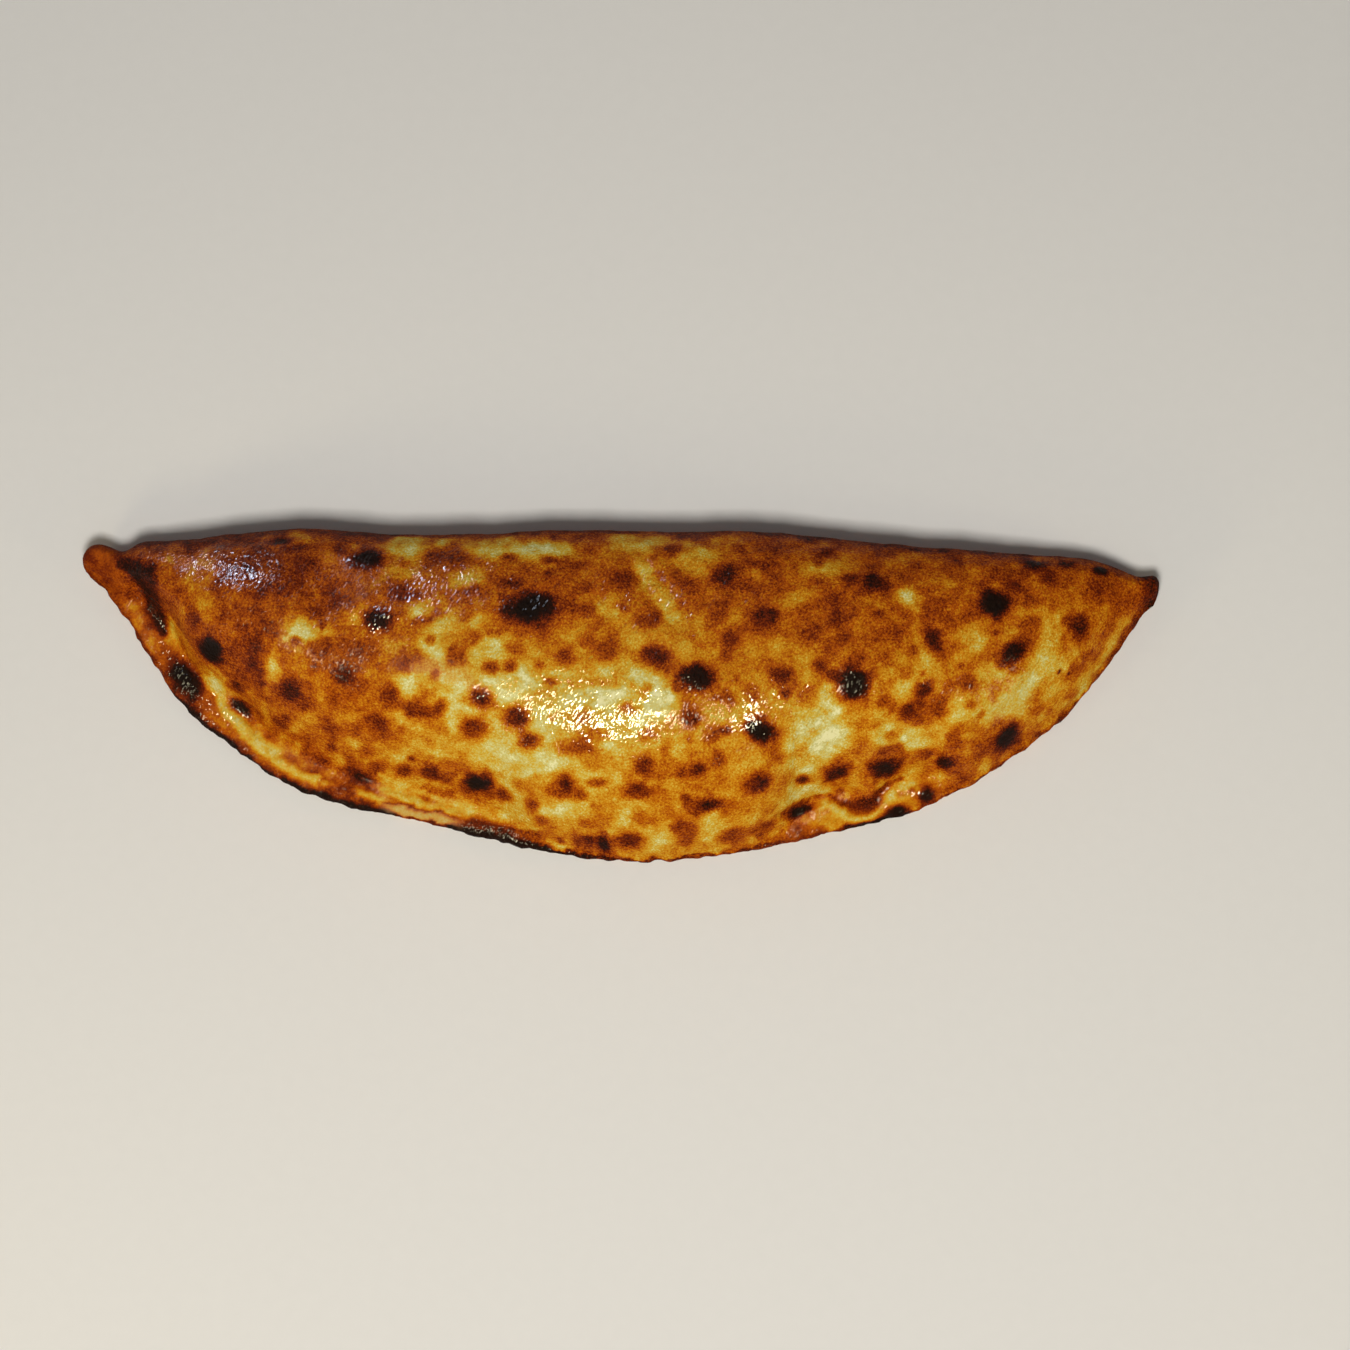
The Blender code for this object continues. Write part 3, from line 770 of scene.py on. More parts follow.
# Pools of melted butter: centre x and y, two radii, turn in degrees, strength.
POOLS = (
    (-7.0, -8.0, 25.0, 13.0, 6.0, 1.0),
    (-109.0, -2.0, 10.0, 4.0, -52.0, 1.0),
    (44.0, -8.0, 14.0, 10.0, 0.0, 1.0),
    (103.0, 0.0, 12.0, 9.0, 50.0, 0.8),
    (-108.0, 33.0, 15.0, 7.0, 5.0, 1.0),
    (-49.0, 27.5, 15.0, 8.5, 28.0, 1.0),
    (-71.0, 36.0, 6.0, 4.0, 0.0, 0.6),
    (-40.0, 34.0, 6.0, 4.0, 0.0, 0.7),
    (-98.0, 38.5, 9.0, 3.0, 0.0, 0.7),
    (-66.0, 17.5, 4.5, 4.0, 0.0, 1.0),
    (8.0, 20.0, 10.0, 14.0, 30.0, 0.6),
    (-40.0, -5.0, 5.0, 5.0, 0.0, 0.6),
    (-31.0, -10.0, 8.0, 6.0, 0.0, 0.8),
    (82.0, -25.6, 2.4, 2.0, 0.0, 1.0),
    (73.4, -31.5, 1.4, 1.4, 0.0, 1.0),
    (57.0, -33.8, 1.9, 1.1, 0.0, 0.9),
    (61.5, -30.0, 1.2, 0.8, 0.0, 0.9),
)

# Drier places inside the pools: centre x and y, two radii, turn in degrees, strength.
DRY = (
    (0.5, -3.5, 7.5, 3.8, 5.0, 0.9),
    (12.0, -5.5, 3.4, 3.4, 0.0, 0.8),
    (-10.0, -1.5, 3.0, 2.0, 0.0, 0.7),
)
POOL_WOBBLE = 0.6
POOL_RIM = (0.5, 1.3)
DRY_RIM = (0.6, 1.2)

# Butter outside the pools: a thin film on the crown, some in scorched places, none on the knob.
BUTTER_FILM = 0.03
BUTTER_FILM_DRIFT = 0.17
SCORCHED_BUTTER = (0.24, 0.74, 0.9)
CHAR_LOSS = (0.25, 0.8, 0.95)
BUTTER_START = (-142.0, -134.0)

# Unevenness of hand-rolled dough: kind of mottling and height.
ROLLING = (("hand_rolling", 0.9), ("lumps", 0.42), ("grain", 0.2))
BRINK_HEIGHT = 1.1
BRINK_MIDDLE = 0.6
BRINK_REACH = (0.6, 2.4)
BRINK_UNDER = (0.6, 1.0)

# Tones of baked dough, from raw-pale to charred, as colours on a screen.
RAW_DOUGH = (240, 234, 176)
PALE_DOUGH = (214, 207, 132)
CREAM_CRUST = (214, 179, 58)
GOLDEN_CRUST = (208, 138, 14)
ORANGE_CRUST = (180, 84, 2)
BROWN_CRUST = (112, 34, 1)
DARK_CRUST = (48, 14, 3)
CHARRED_CRUST = (22, 9, 5)
FLOURED_CRUST = (190, 140, 96)
WARM_TINT = (1.0, 0.86, 0.7, 1.0)

# Waves of the fine texture in the materials, in metres.
STIPPLE_WAVE = 0.0006
BLOTCH_WAVE = 0.0045
DRIFT_WAVE = 0.019
GREASE_WAVE = 0.006
WRINKLE_WAVE = 0.0007
WRINKLE_STRETCH = (2.1, 1.0, 1.0)
WRINKLE_TURN = 58.0
PIT_WAVE = 0.0016
PIMPLE_WAVE = 0.0026
DIMPLE_WAVE = 0.0021
TOOTH_WAVE = 0.004

# Heights of the same, in metres.
WRINKLE_HEIGHT = 0.00045
PIT_HEIGHT = 0.0006
PIMPLE_HEIGHT = 0.0007
DIMPLE_HEIGHT = 0.0006
TOOTH_HEIGHT = 0.0001
TOOTH_DARKENING = 0.97

# Lamps: place and two sides in metres, and colour of the light.
LAMPS = {
    "key_light": ((-0.02, -0.42, 1.16), (0.22, 0.22), (1.0, 0.97, 0.92)),
    "glint_light": ((-0.1, -0.4, 1.2), (0.3, 0.3), (1.0, 0.92, 0.6)),
    "fill_light": ((-0.2, -0.9, 1.4), (1.6, 1.6), (1.0, 0.98, 0.95)),
    "window_light": ((-0.55, 0.75, 0.6), (0.36, 0.18), (0.7, 0.82, 1.0)),
    "low_light_left": ((-0.5, -0.42, 0.3), (0.14, 0.14), (1.0, 0.84, 0.5)),
    "low_light_right": ((0.55, -0.3, 0.35), (0.14, 0.14), (1.0, 0.84, 0.5)),
}
AMBIENT_COLOUR = (1.0, 0.98, 0.95, 1.0)
AMBIENT_STRENGTH = 0.1

# Power of the light that shows only in the butter, against the key light, and of the right low light
# against the left one.
GLINT_SHARE = 2.5
RIGHT_SHARE = 0.5

# Where the camera looks, how high it stands in degrees and how wide a strip it takes in, in metres.
CAMERA_AIM = (0.0150, 0.0052, 0.015)
CAMERA_ELEVATION = 82.0
CAMERA_VIEW_WIDTH = 0.3729
SENSOR_WIDTH = 36.0


def spread_of(name):
    """Evenly spaced shares of one part of a section, the end left to the next part."""
    return np.linspace(0, 1, PARTS[name], endpoint=False)


def flowing(x, column):
    """Values of one station column at x, as a curve that never overshoots its stations."""
    at = np.array([row[0] for row in STATIONS])
    value = np.array([row[column] for row in STATIONS])
    step = np.diff(at)
    slope = np.diff(value) / step
    tangent = np.zeros_like(value)
    tangent[0] = slope[0]
    tangent[-1] = slope[-1]
    before = slope[:-1]
    after = slope[1:]
    same_way = before * after > 0
    total = np.where(same_way, before + after, 1.0)
    tangent[1:-1] = np.where(same_way, 2 * before * after / total, 0.0)
    x = np.clip(x, at[0], at[-1])
    index = np.clip(np.searchsorted(at, x) - 1, 0, len(step) - 1)
    share = (x - at[index]) / step[index]
    start = value[index] * (1 + 2 * share) * (1 - share) ** 2
    end = value[index + 1] * share**2 * (3 - 2 * share)
    leave = tangent[index] * step[index] * share * (1 - share) ** 2
    arrive = tangent[index + 1] * step[index] * share**2 * (share - 1)
    return start + end + leave + arrive


def bump(distance):
    """A soft hill, 1 in the middle and 0 from distance 1 outwards."""
    return np.clip(1 - distance**2, 0, 1) ** 2


def fade(value, start, end):
    """0 before start, 1 after end, smooth between."""
    share = np.clip((value - start) / (end - start), 0, 1)
    return share * share * (3 - 2 * share)


def coming_in(value, amount, start, end):
    """An amount that comes in as the value goes from start to end."""
    return amount * fade(value, start, end)


def rise(x):
    """Height of the underside above the resting surface."""
    left = np.clip((-RISE_START - x) / (-RISE_START - LEFT_TIP), 0, 1)
    right = np.clip((x - RISE_START) / (RIGHT_TIP - RISE_START), 0, 1)
    return LEFT_RISE * left**2 + RIGHT_RISE * right**2


def swell(x, y):
    """Height that the slow rises and hollows add at a point of the top."""
    height = np.zeros_like(x)
    for centre_x, centre_y, long_radius, short_radius, turn, amount in SWELLS:
        cosine = math.cos(math.radians(turn))
        sine = math.sin(math.radians(turn))
        along = (x - centre_x) * cosine + (y - centre_y) * sine
        across = (y - centre_y) * cosine - (x - centre_x) * sine
        away = np.hypot(along / long_radius, across / short_radius) / SWELL_REACH
        height += amount * bump(away)
    return height


def lip_at(x):
    """Width and extra height of the pressed lip at x, with its crimps."""
    width = flowing(x, 4)
    height = RIDGE_HEIGHT * np.clip(width / RIDGE_LIP_WIDTH, 0, 1)
    for centre, half, wider, higher in CRIMPS:
        near = bump((x - centre) / (CRIMP_REACH * half))
        width = width + wider * near
        height = height + higher * near
    return width, height


def squareness_at(x):
    """Share of a step across the bread that leads straight in from the sealed edge at x."""
    slope = (flowing(x + SLOPE_STEP, 2) - flowing(x - SLOPE_STEP, 2)) / (2 * SLOPE_STEP)
    return 1 / np.hypot(1, slope)


def section(x):
    """One closed section across the bread at x, as y and z, from the sealed edge over the top."""
    fold = flowing(x, 1)
    seal = flowing(x, 2)
    height = flowing(x, 3)
    edge = flowing(x, 5)
    lip_width, lip_height = lip_at(x)
    squareness = squareness_at(x)
    width = fold - seal
    narrowness = 1 - min(1, width / FULL_WIDTH)
    crest_share = CREST_SHARE + (NARROW_CREST_SHARE - CREST_SHARE) * narrowness
    crest = seal + crest_share * width
    edge_top = LIP_UNDERCUT + edge
    round_in = min(EDGE_ROUNDING / squareness, EDGE_ROUNDING_SHARE * width)

    lipped = min(1, lip_width / FULL_LIP_WIDTH) ** 2
    last_turn = math.radians(EDGE_TURN_BARE + (EDGE_TURN_LIPPED - EDGE_TURN_BARE) * lipped)
    turn = -math.pi / 2 + (last_turn + math.pi / 2) * spread_of("edge")
    edge_y = seal + round_in * (1 - np.cos(turn))
    edge_z = LIP_UNDERCUT + edge / 2 * (1 + np.sin(turn))

    lip_start = seal + round_in * (1 - math.cos(last_turn))
    lip_top = LIP_UNDERCUT + edge / 2 * (1 + math.sin(last_turn))
    smooth_groove = lip_start + flowing(x, 4) / squareness
    groove = lip_start + lip_width / squareness
    share = spread_of("lip")
    lip_y = lip_start + (groove - lip_start) * share
    lip_z = lip_top + lip_height * np.sin(math.pi * share)

    share = spread_of("dome") ** DOME_SPREAD
    pleat = (groove - smooth_groove) * (1 - share) ** PLEAT_FADE
    dome_y = smooth_groove + (crest - smooth_groove) * share + pleat
    fullness = DOME_FULLNESS_BARE + (DOME_FULLNESS_LIPPED - DOME_FULLNESS_BARE) * lipped
    dome = (1 - (1 - share) ** DOME_POWER) ** fullness
    dome_z = lip_top + (height - lip_top) * dome

    widest = FOLD_HEIGHT_SHARE * height
    turn = math.pi / 2 * spread_of("far")
    far_y = crest + (fold - crest) * np.sin(turn) ** (2 / FOLD_POWER)
    far_z = widest + (height - widest) * np.cos(turn) ** (2 / FOLD_POWER)

    tuck = min(FOLD_TUCK, FOLD_TUCK_SHARE * width)
    turn = math.pi / 2 * spread_of("tuck")
    tuck_y = fold - tuck * (1 - np.cos(turn))
    tuck_z = widest * (1 - np.sin(turn))
    lip_tuck = min(LIP_TUCK / squareness, LIP_TUCK_SHARE * width)
    base_y = np.linspace(fold - tuck, seal + lip_tuck, PARTS["base"])
    base_z = np.zeros(PARTS["base"])
    share = np.linspace(0, 1, PARTS["under"] + 1, endpoint=False)[1:]
    under_y = seal + lip_tuck + (round_in - lip_tuck) * share
    under_z = LIP_UNDERCUT * share**2

    y = np.concatenate([edge_y, lip_y, dome_y, far_y, tuck_y, base_y, under_y])
    z = np.concatenate([edge_z, lip_z, dome_z, far_z, tuck_z, base_z, under_z])
    foot = slice(PARTS["edge"], PARTS["edge"] + PARTS["lip"] + PARTS["dome"] // DOME_PER_FOOT)
    for _ in range(FOOT_SOFTENING):
        around = np.interp(y[foot][1:-1] - FOOT_REACH, y[foot], z[foot])
        around += np.interp(y[foot][1:-1] + FOOT_REACH, y[foot], z[foot])
        z[foot][1:-1] += FOOT_SHARE * (around / 2 - z[foot][1:-1])
    top = np.clip((z - edge_top) / (SWELL_START_SHARE * height), 0, 1)
    z = z + top * swell(np.full_like(y, x), y) * min(1, height / SWELL_FULL_HEIGHT)
    return y, z


def sections():
    """Every section along the bread as one grid of points, the last ones drawn in to round the tips."""
    angles = np.linspace(0, math.pi / 2, CAP_SECTIONS + 1, endpoint=False)[1:]
    start = LEFT_TIP + KNOB_CAP
    end = RIGHT_TIP - BLUNT_CAP
    places = [(start - KNOB_CAP * math.sin(a), math.cos(a)) for a in angles[::-1]]
    places += [(x, 1.0) for x in np.linspace(start, end, BODY_SECTIONS)]
    places += [(end + BLUNT_CAP * math.sin(a), math.cos(a)) for a in angles]
    grid = []
    for place, scale in places:
        y, z = section(place)
        middle_y = (y.max() + y.min()) / 2
        middle_z = (z.max() + z.min()) / 2
        y = middle_y + (y - middle_y) * scale
        z = middle_z + (z - middle_z) * scale + rise(place)
        grid.append(np.stack([np.full_like(y, place), y, z], axis=1))
    return np.array(grid)


def facing(grid):
    """Outward directions at the points of the grid."""
    along = np.gradient(grid, axis=0)
    round_it = np.roll(grid, -1, axis=1) - np.roll(grid, 1, axis=1)
    out = np.cross(round_it, along)
    length = np.linalg.norm(out, axis=2, keepdims=True)
    out = out / np.maximum(length, LEAST_LENGTH)
    middle = grid.mean(axis=1, keepdims=True)
    if ((grid - middle) * out).sum() < 0:
        out = -out
    return out


def mottle(points, wave, shift):
    """Smooth random values 0 to 1 over the points, one bump for about each wave."""
    cell = points / wave + LATTICE_START + shift
    low = np.floor(cell).astype(int)
    share = cell - low
    share = share * share * (3 - 2 * share)
    total = np.zeros(points.shape[:-1])
    for step in np.ndindex(2, 2, 2):
        weight = np.ones(points.shape[:-1])
        for axis in range(3):
            part = share[..., axis]
            weight = weight * (part if step[axis] else 1 - part)
        at = (low + step) % LATTICE_SIDE
        total += weight * LATTICE[at[..., 0], at[..., 1], at[..., 2]]
    return total


def layered(points, kind):
    """One kind of mottling at falling waves, spread to about 0 to 1 round a middle of 0.5."""
    wave, layers, shift = MOTTLES[kind]
    total = np.zeros(points.shape[:-1])
    weight = 1.0
    weights = 0.0
    for _ in range(layers):
        total += weight * mottle(points, wave, shift)
        weights += weight
        weight *= LAYER_WEIGHT
        wave *= LAYER_WAVE
        shift += LAYER_SHIFT
    return np.clip(0.5 + LAYER_SPREAD * (total / weights - 0.5), 0, 1)


def away_from(points, centre, long_radius, short_radius, turn):
    """Distance of the points from an oval's centre, 1 on its rim, counting height as well."""
    cosine = math.cos(math.radians(turn))
    sine = math.sin(math.radians(turn))
    gap = points - centre
    along = gap[..., 0] * cosine + gap[..., 1] * sine
    across = gap[..., 1] * cosine - gap[..., 0] * sine
    high_radius = HEIGHT_REACH * max(long_radius, short_radius)
    in_plan = (along / long_radius) ** 2 + (across / short_radius) ** 2
    return np.sqrt(in_plan + (gap[..., 2] / high_radius) ** 2)


def line_gap(x, y, start, end):
    """Distance from a straight stroke in plan, and share of the way along it."""
    run = np.array(end) - np.array(start)
    length = float(run @ run)
    share = np.clip(((x - start[0]) * run[0] + (y - start[1]) * run[1]) / length, 0, 1)
    return np.hypot(x - start[0] - share * run[0], y - start[1] - share * run[1]), share


class Crust:
    """The bread's points with the relief, browning with painted light and shade, and butter that belong to
    each.
    """

    def __init__(self, settings):
        self.points = sections()
        self.out = facing(self.points)
        self.x = self.points[..., 0]
        self.y = self.points[..., 1]
        self.edge_gap = (self.y - flowing(self.x, 2)) * squareness_at(self.x)
        self.ragged = layered(self.points, "ragged")
        self.torn = TORN_REACH * (layered(self.points, "torn") - 0.5)
        self.cloud = CLOUD_TONE * (layered(self.points, "cloud") - 0.5)
        self.under = fade(-self.out[..., 2], *UNDER_FACING)
        self.top = fade(self.out[..., 2], *TOP_FACING)
        self.tone = np.zeros_like(self.x)
        self.butter = np.zeros_like(self.x)
        self.dull = np.zeros_like(self.x)
        self.calm = np.zeros_like(self.x)
        self.pale = np.zeros_like(self.x)
        self.relief = np.zeros_like(self.x)
        self.settings = settings

    def surface_at(self, x, y):
        """The point of the top nearest to a place in plan."""
        gap = np.hypot(self.x - x, self.y - y) + NOT_ON_TOP * (self.out[..., 2] < LEAST_FACING)
        return self.points.reshape(-1, 3)[int(gap.argmin())]

    def away_on_top(self, x, y, long_radius, short_radius, turn):
        """Distance of all points from an oval laid on the top at a place in plan, 1 on its rim."""
        return away_from(self.points, self.surface_at(x, y), long_radius, short_radius, turn)

    def mix_tone(self, target, share):
        """Takes the tone towards a target, paler or darker."""
        self.tone = self.tone + (target - self.tone) * share

    def darken(self, depth, share, here=slice(None)):
        """Takes the tone towards a depth where it is paler than that."""
        self.tone[here] += np.maximum(depth - self.tone[here], 0) * share

    def bake_evenly_with_painted_light(self):
        """The slow and quick changes of colour that an oven gives, with painted shade on faces turned to
        the far side, painted light on faces turned to the near side, and a browner left end and fold side,
        partly painted shade.
        """
        slow = layered(self.points, "slow_browning")
        quick = layered(self.points, "quick_browning")
        self.tone = EVEN_TONE + SLOW_BROWNING * (slow - 0.5) + QUICK_BROWNING * (quick - 0.5)
        # Painted shade: faces turned to the far side, and most of all the far wall, are darkened.
        self.tone += coming_in(self.out[..., 1], *FAR_SIDE_PAINTED_SHADE)
        self.tone += coming_in(self.out[..., 1], *FAR_WALL_PAINTED_SHADE)
        # Painted light: top faces turned to the near side, towards the lamps, are paler.
        self.tone -= coming_in(-self.out[..., 1], *NEAR_SIDE_PAINTED_LIGHT) * self.top
        # Browner towards the left end: partly baked tone, partly painted shade where the light falls off.
        self.tone += LEFT_END_BROWNING_AND_SHADE * (1 - fade(self.x, *LEFT_END))
        self.tone -= coming_in(self.x, *RIGHT_END_PALING)
        # Browner towards the fold side: partly baked tone, partly painted shade where the light falls off.
        self.tone += coming_in(self.y, *FOLD_SIDE_BROWNING_AND_SHADE)
        along = (self.x - GOLDEN_CENTRE[0]) / GOLDEN_RADII[0]
        across = (self.y - GOLDEN_CENTRE[1]) / GOLDEN_RADII[1]
        golden = bump(np.hypot(along, across))
        self.tone = np.minimum(self.tone - GOLDEN_PALING * golden, MOST_EVEN_TONE)

    def lay_zones(self):
        """Pale and brown stretches of the top, with torn rims; a few are painted shade, highlight or
        reflection.
        """
        for x, y, long_radius, short_radius, turn, target, share in ZONES:
            away = self.away_on_top(x, y, long_radius, short_radius, turn) + self.torn
            share = share * (1 - fade(away, ZONE_CORE * share, ZONE_RIM)) * self.top
            self.mix_tone(target + self.cloud, share)
            paleness = fade(-target, -LEAST_PALE_TONE, -FULL_PALE_TONE)
            self.pale += (paleness - self.pale) * share

    def near(self, x, reach):
        """The sections within reach of a place along the bread."""
        first, last = np.searchsorted(self.x[:, 0], (x - reach, x + reach))
        return slice(first, last)

    def freckle(self, centre, long_radius, short_radius, turn, depth, share):
        """One soft browner spot."""
        here = self.near(centre[0], FRECKLE_REACH * long_radius)
        away = away_from(self.points[here], centre, long_radius, short_radius, turn)
        away = away + FRECKLE_WOBBLE * (self.ragged[here] - 0.5)
        spot = share * (1 - fade(away, *FRECKLE_SPREAD)) * (1 - FRECKLE_PALE_LOSS * self.pale[here])
        self.darken(depth, spot, here)

    def scorch(self, centre, long_radius, short_radius, turn, depth):
        """One scorched blister: a dark core, a brown halo and a little height."""
        here = self.near(centre[0], SCORCH_REACH * long_radius)
        ragged = self.ragged[here]
        away = away_from(self.points[here], centre, long_radius, short_radius, turn)
        away = away + SCORCH_WOBBLE * (ragged - 0.5)
        halo = 1 - fade(away, *SCORCH_HALO)
        core = 1 - fade(away, *SCORCH_CORE)
        self.darken(min(depth, HALO_TONE), HALO_SHARE * halo, here)
        self.darken(depth, core, here)
        if depth > RAISED_FROM:
            self.relief[here] += BLISTER_HEIGHT * core * (BLISTER_EVEN + BLISTER_ROUGH * ragged)

    def scorch_marks(self):
        """The scorched blisters of the table."""
        for x, y, long_radius, short_radius, turn, depth in MARKS:
            depth -= PALER_BY * (1 - fade(depth, *PALER_BELOW))
            self.scorch(self.surface_at(x, y), long_radius, short_radius, turn, depth)

    def beside(self, line):
        """Distance of the points from a bent line in plan, in half widths of the line."""
        away = np.full_like(self.x, FAR_OFF)
        for (x0, y0, start_width), (x1, y1, end_width) in zip(line, line[1:]):
            gap, share = line_gap(self.x, self.y, (x0, y0), (x1, y1))
            away = np.minimum(away, gap / (start_width + (end_width - start_width) * share))
        return away

    def crimp(self):
        """The pale brims and folds along the pressed lip, the left brim partly a painted sheen, and the
        darker, sunken crevice behind its crimps.
        """
        ragged = BRIM_WOBBLE * (self.ragged - 0.5)
        crevice = bump((self.beside(CREVICE) + ragged) / CREVICE_REACH) * self.top
        self.relief -= CREVICE_DROP * crevice
        self.mix_tone(CREVICE_TONE, CREVICE_SHARE * crevice)
        for line, tone, height in BRIMS:
            brim = bump((self.beside(line) + ragged) / BRIM_REACH) * self.top
            self.relief += height * brim
            self.mix_tone(tone + BRIM_CLOUD * self.cloud, BRIM_SHARE * brim)

    def scorch_streak(self):
        """The long burnt streak by the knob, with its brown halo."""
        away = self.beside(STREAK) + STREAK_WOBBLE * (self.ragged - 0.5)
        halo = (1 - fade(away, *STREAK_HALO)) * self.top
        core = (1 - fade(away, *STREAK_CORE)) * self.top
        self.darken(HALO_TONE, HALO_SHARE * halo)
        self.darken(STREAK_DEPTH, core)

    def freckles(self):
        """Soft seeded spots that run together into the browner fields, fewer on pale dough."""
        rng = np.random.default_rng(FRECKLE_SEED)
        flat = self.points.reshape(-1, 3)
        picked = rng.choice(len(flat), FRECKLE_COUNT, replace=False)
        radii = rng.uniform(*FRECKLE_RADII, FRECKLE_COUNT)
        depths = rng.uniform(*FRECKLE_DEPTHS, FRECKLE_COUNT)
        shares = rng.uniform(*FRECKLE_SHARES, FRECKLE_COUNT)
        turns = rng.uniform(0, 180, FRECKLE_COUNT)
        kept = rng.uniform(0, FRECKLE_FULL_TONE, FRECKLE_COUNT) < self.tone.ravel()[picked]
        for i in np.flatnonzero(kept):
            long_radius = FRECKLE_LENGTH * radii[i]
            self.freckle(flat[picked[i]], long_radius, radii[i], turns[i], depths[i], shares[i])

    def small_marks(self):
        """Small seeded specks all over but on the palest dough."""
        rng = np.random.default_rng(SPECK_SEED)
        flat = self.points.reshape(-1, 3)
        picked = rng.choice(len(flat), SPECK_COUNT, replace=False)
        radii = rng.uniform(*SPECK_RADII, SPECK_COUNT)
        depths = rng.uniform(*SPECK_DEPTHS, SPECK_COUNT)
        turns = rng.uniform(0, 180, SPECK_COUNT)
        longer = rng.uniform(*SPECK_LENGTHS, SPECK_COUNT)
        kept = self.tone.ravel()[picked] > SPECK_LEAST_TONE
        for i in np.flatnonzero(kept):
            self.scorch(flat[picked[i]], radii[i] * longer[i], radii[i], turns[i], depths[i])

    def colour_edge(self):
        """The thin burnt rim of the sealed edge and the pale layer where the lip has opened."""
        places, black_widths, brown_widths = np.array(BURNS).T
        black = np.interp(self.x, places, black_widths)
        brown = np.interp(self.x, places, brown_widths)
        gap = np.clip(self.edge_gap, 0, None) + EDGE_WOBBLE * (self.ragged - 0.5)
        opened = fade(self.x, *OPEN_LIP_START) * (1 - fade(self.x, *OPEN_LIP_END))
        layer = opened * (fade(gap, *OPEN_LIP_OUTER) * (1 - fade(gap, *OPEN_LIP_INNER)))
        self.mix_tone(OPEN_LIP_TONE, layer)
        self.dull = np.maximum(self.dull, layer)
        seam = bump((gap - OPEN_LIP_INNER[1]) / SEAM_REACH) * opened
        self.relief -= SEAM_DROP * seam
        self.mix_tone(SEAM_TONE, SEAM_SHARE * seam)
        browned = 1 - fade(gap, black, black + RIM_BROWN_REACH * brown)
        self.darken(RIM_BROWN_TONE, RIM_BROWN_SHARE * browned)
        charred = 1 - fade(gap, RIM_BLACK_CORE * black, black + RIM_BLACK_SPREAD)
        self.darken(RIM_BLACK_TONE, charred * fade(black, *LEAST_BLACK))

    def colour_lip(self):
        """The golden tone of the pressed lip and the paler groove behind it, both rather smooth."""
        width, _ = lip_at(self.x)
        wide = fade(width, *WIDE_LIP) * self.top
        outer = bump((self.edge_gap - LIP_PLACE) / LIP_REACH)
        self.mix_tone(LIP_TONE, LIP_SHARE * outer * wide)
        valley = bump((self.edge_gap - GROOVE_PLACE - width) / GROOVE_REACH)
        self.mix_tone(GROOVE_TONE + self.cloud, GROOVE_SHARE * valley * wide)
        start, end = LIP_CALM_SPREAD
        self.calm = LIP_CALM * wide * (1 - fade(self.edge_gap, start * width, end * width))

    def colour_ends(self):
        """The smooth brown knob at one end and the dark tip at the other."""
        knob = 1 - fade(self.x, *KNOB)
        self.mix_tone(KNOB_TONE, TIP_SHARE * knob)
        tip = fade(self.x + BLUNT_TIP_WOBBLE * self.ragged, *BLUNT_TIP)
        self.mix_tone(BLUNT_TIP_TONE, TIP_SHARE * tip)
        self.calm = np.maximum(self.calm, KNOB_CALM * knob)

    def colour_underside(self):
        """The dull, patchy sole."""
        sole = SOLE_TONE + SOLE_DRIFT * (layered(self.points, "sole") - SOLE_MIDDLE)
        self.mix_tone(sole, SOLE_SHARE * self.under)
        self.dull = np.maximum(self.dull, self.under)

    def butter_it(self):
        """Melted butter: a thin film and pools on the top, none on the knob or underneath."""
        pool = layered(self.points, "butter")
        self.butter = fade(self.out[..., 2], *CROWN_FACING) * (BUTTER_FILM + BUTTER_FILM_DRIFT * pool)
        for x, y, long_radius, short_radius, turn, strength in POOLS:
            away = self.away_on_top(x, y, long_radius, short_radius, turn)
            near = 1 - fade(away + POOL_WOBBLE * (pool - 0.5), *POOL_RIM)
            self.butter = np.maximum(self.butter, strength * near)
        self.butter = np.maximum(self.butter, coming_in(self.tone, *SCORCHED_BUTTER))
        for x, y, long_radius, short_radius, turn, strength in DRY:
            away = self.away_on_top(x, y, long_radius, short_radius, turn)
            near = 1 - fade(away + POOL_WOBBLE * (self.ragged - 0.5), *DRY_RIM)
            self.butter *= 1 - strength * near
        self.butter *= (1 - self.dull) * fade(self.x, *BUTTER_START)
        self.butter *= fade(self.out[..., 2], *POOL_FACING)
        self.butter *= 1 - coming_in(self.tone, *CHAR_LOSS)

    def crease(self):
        """Fine folds and wrinkles, each with its own tone."""
        for x0, y0, x1, y1, width, height, tone in CREASES:
            gap, share = line_gap(self.x, self.y, (x0, y0), (x1, y1))
            ends = 4 * share * (1 - share)
            gap = gap + CREASE_WOBBLE * (self.ragged - 0.5)
            line = bump(gap / (CREASE_REACH * width)) * np.sqrt(ends) * self.top
            self.relief += height * line
            self.mix_tone(tone, CREASE_SHARE * line)

    def roughen(self):
        """Slow unevenness of hand-rolled dough and the ragged edge."""
        for kind, height in ROLLING:
            self.relief += height * (layered(self.points, kind) - 0.5) * self.top
        brink = 1 - fade(self.edge_gap, *BRINK_REACH)
        brink *= 1 - fade(self.under, *BRINK_UNDER)
        self.relief += BRINK_HEIGHT * (layered(self.points, "brink") - BRINK_MIDDLE) * brink

    def bake(self):
        """Everything that belongs to the crust, the later work over the earlier."""
        self.bake_evenly_with_painted_light()
        self.lay_zones()
        self.crease()
        self.colour_lip()
        self.freckles()
        self.small_marks()
        self.crimp()
        self.scorch_marks()
        self.colour_underside()
        self.colour_ends()
        self.scorch_streak()
        self.colour_edge()
        self.butter_it()
        self.roughen()
        self.tone = np.clip(self.tone + self.settings.extra_baking, 0, 1)

    def raised(self):
        """The points with their relief, none lower than the surface the bread rests on."""
        moved = self.points + self.out * (self.relief * self.settings.relief)[..., None]
        moved[..., 2] = np.maximum(moved[..., 2], 0.0)
        return moved


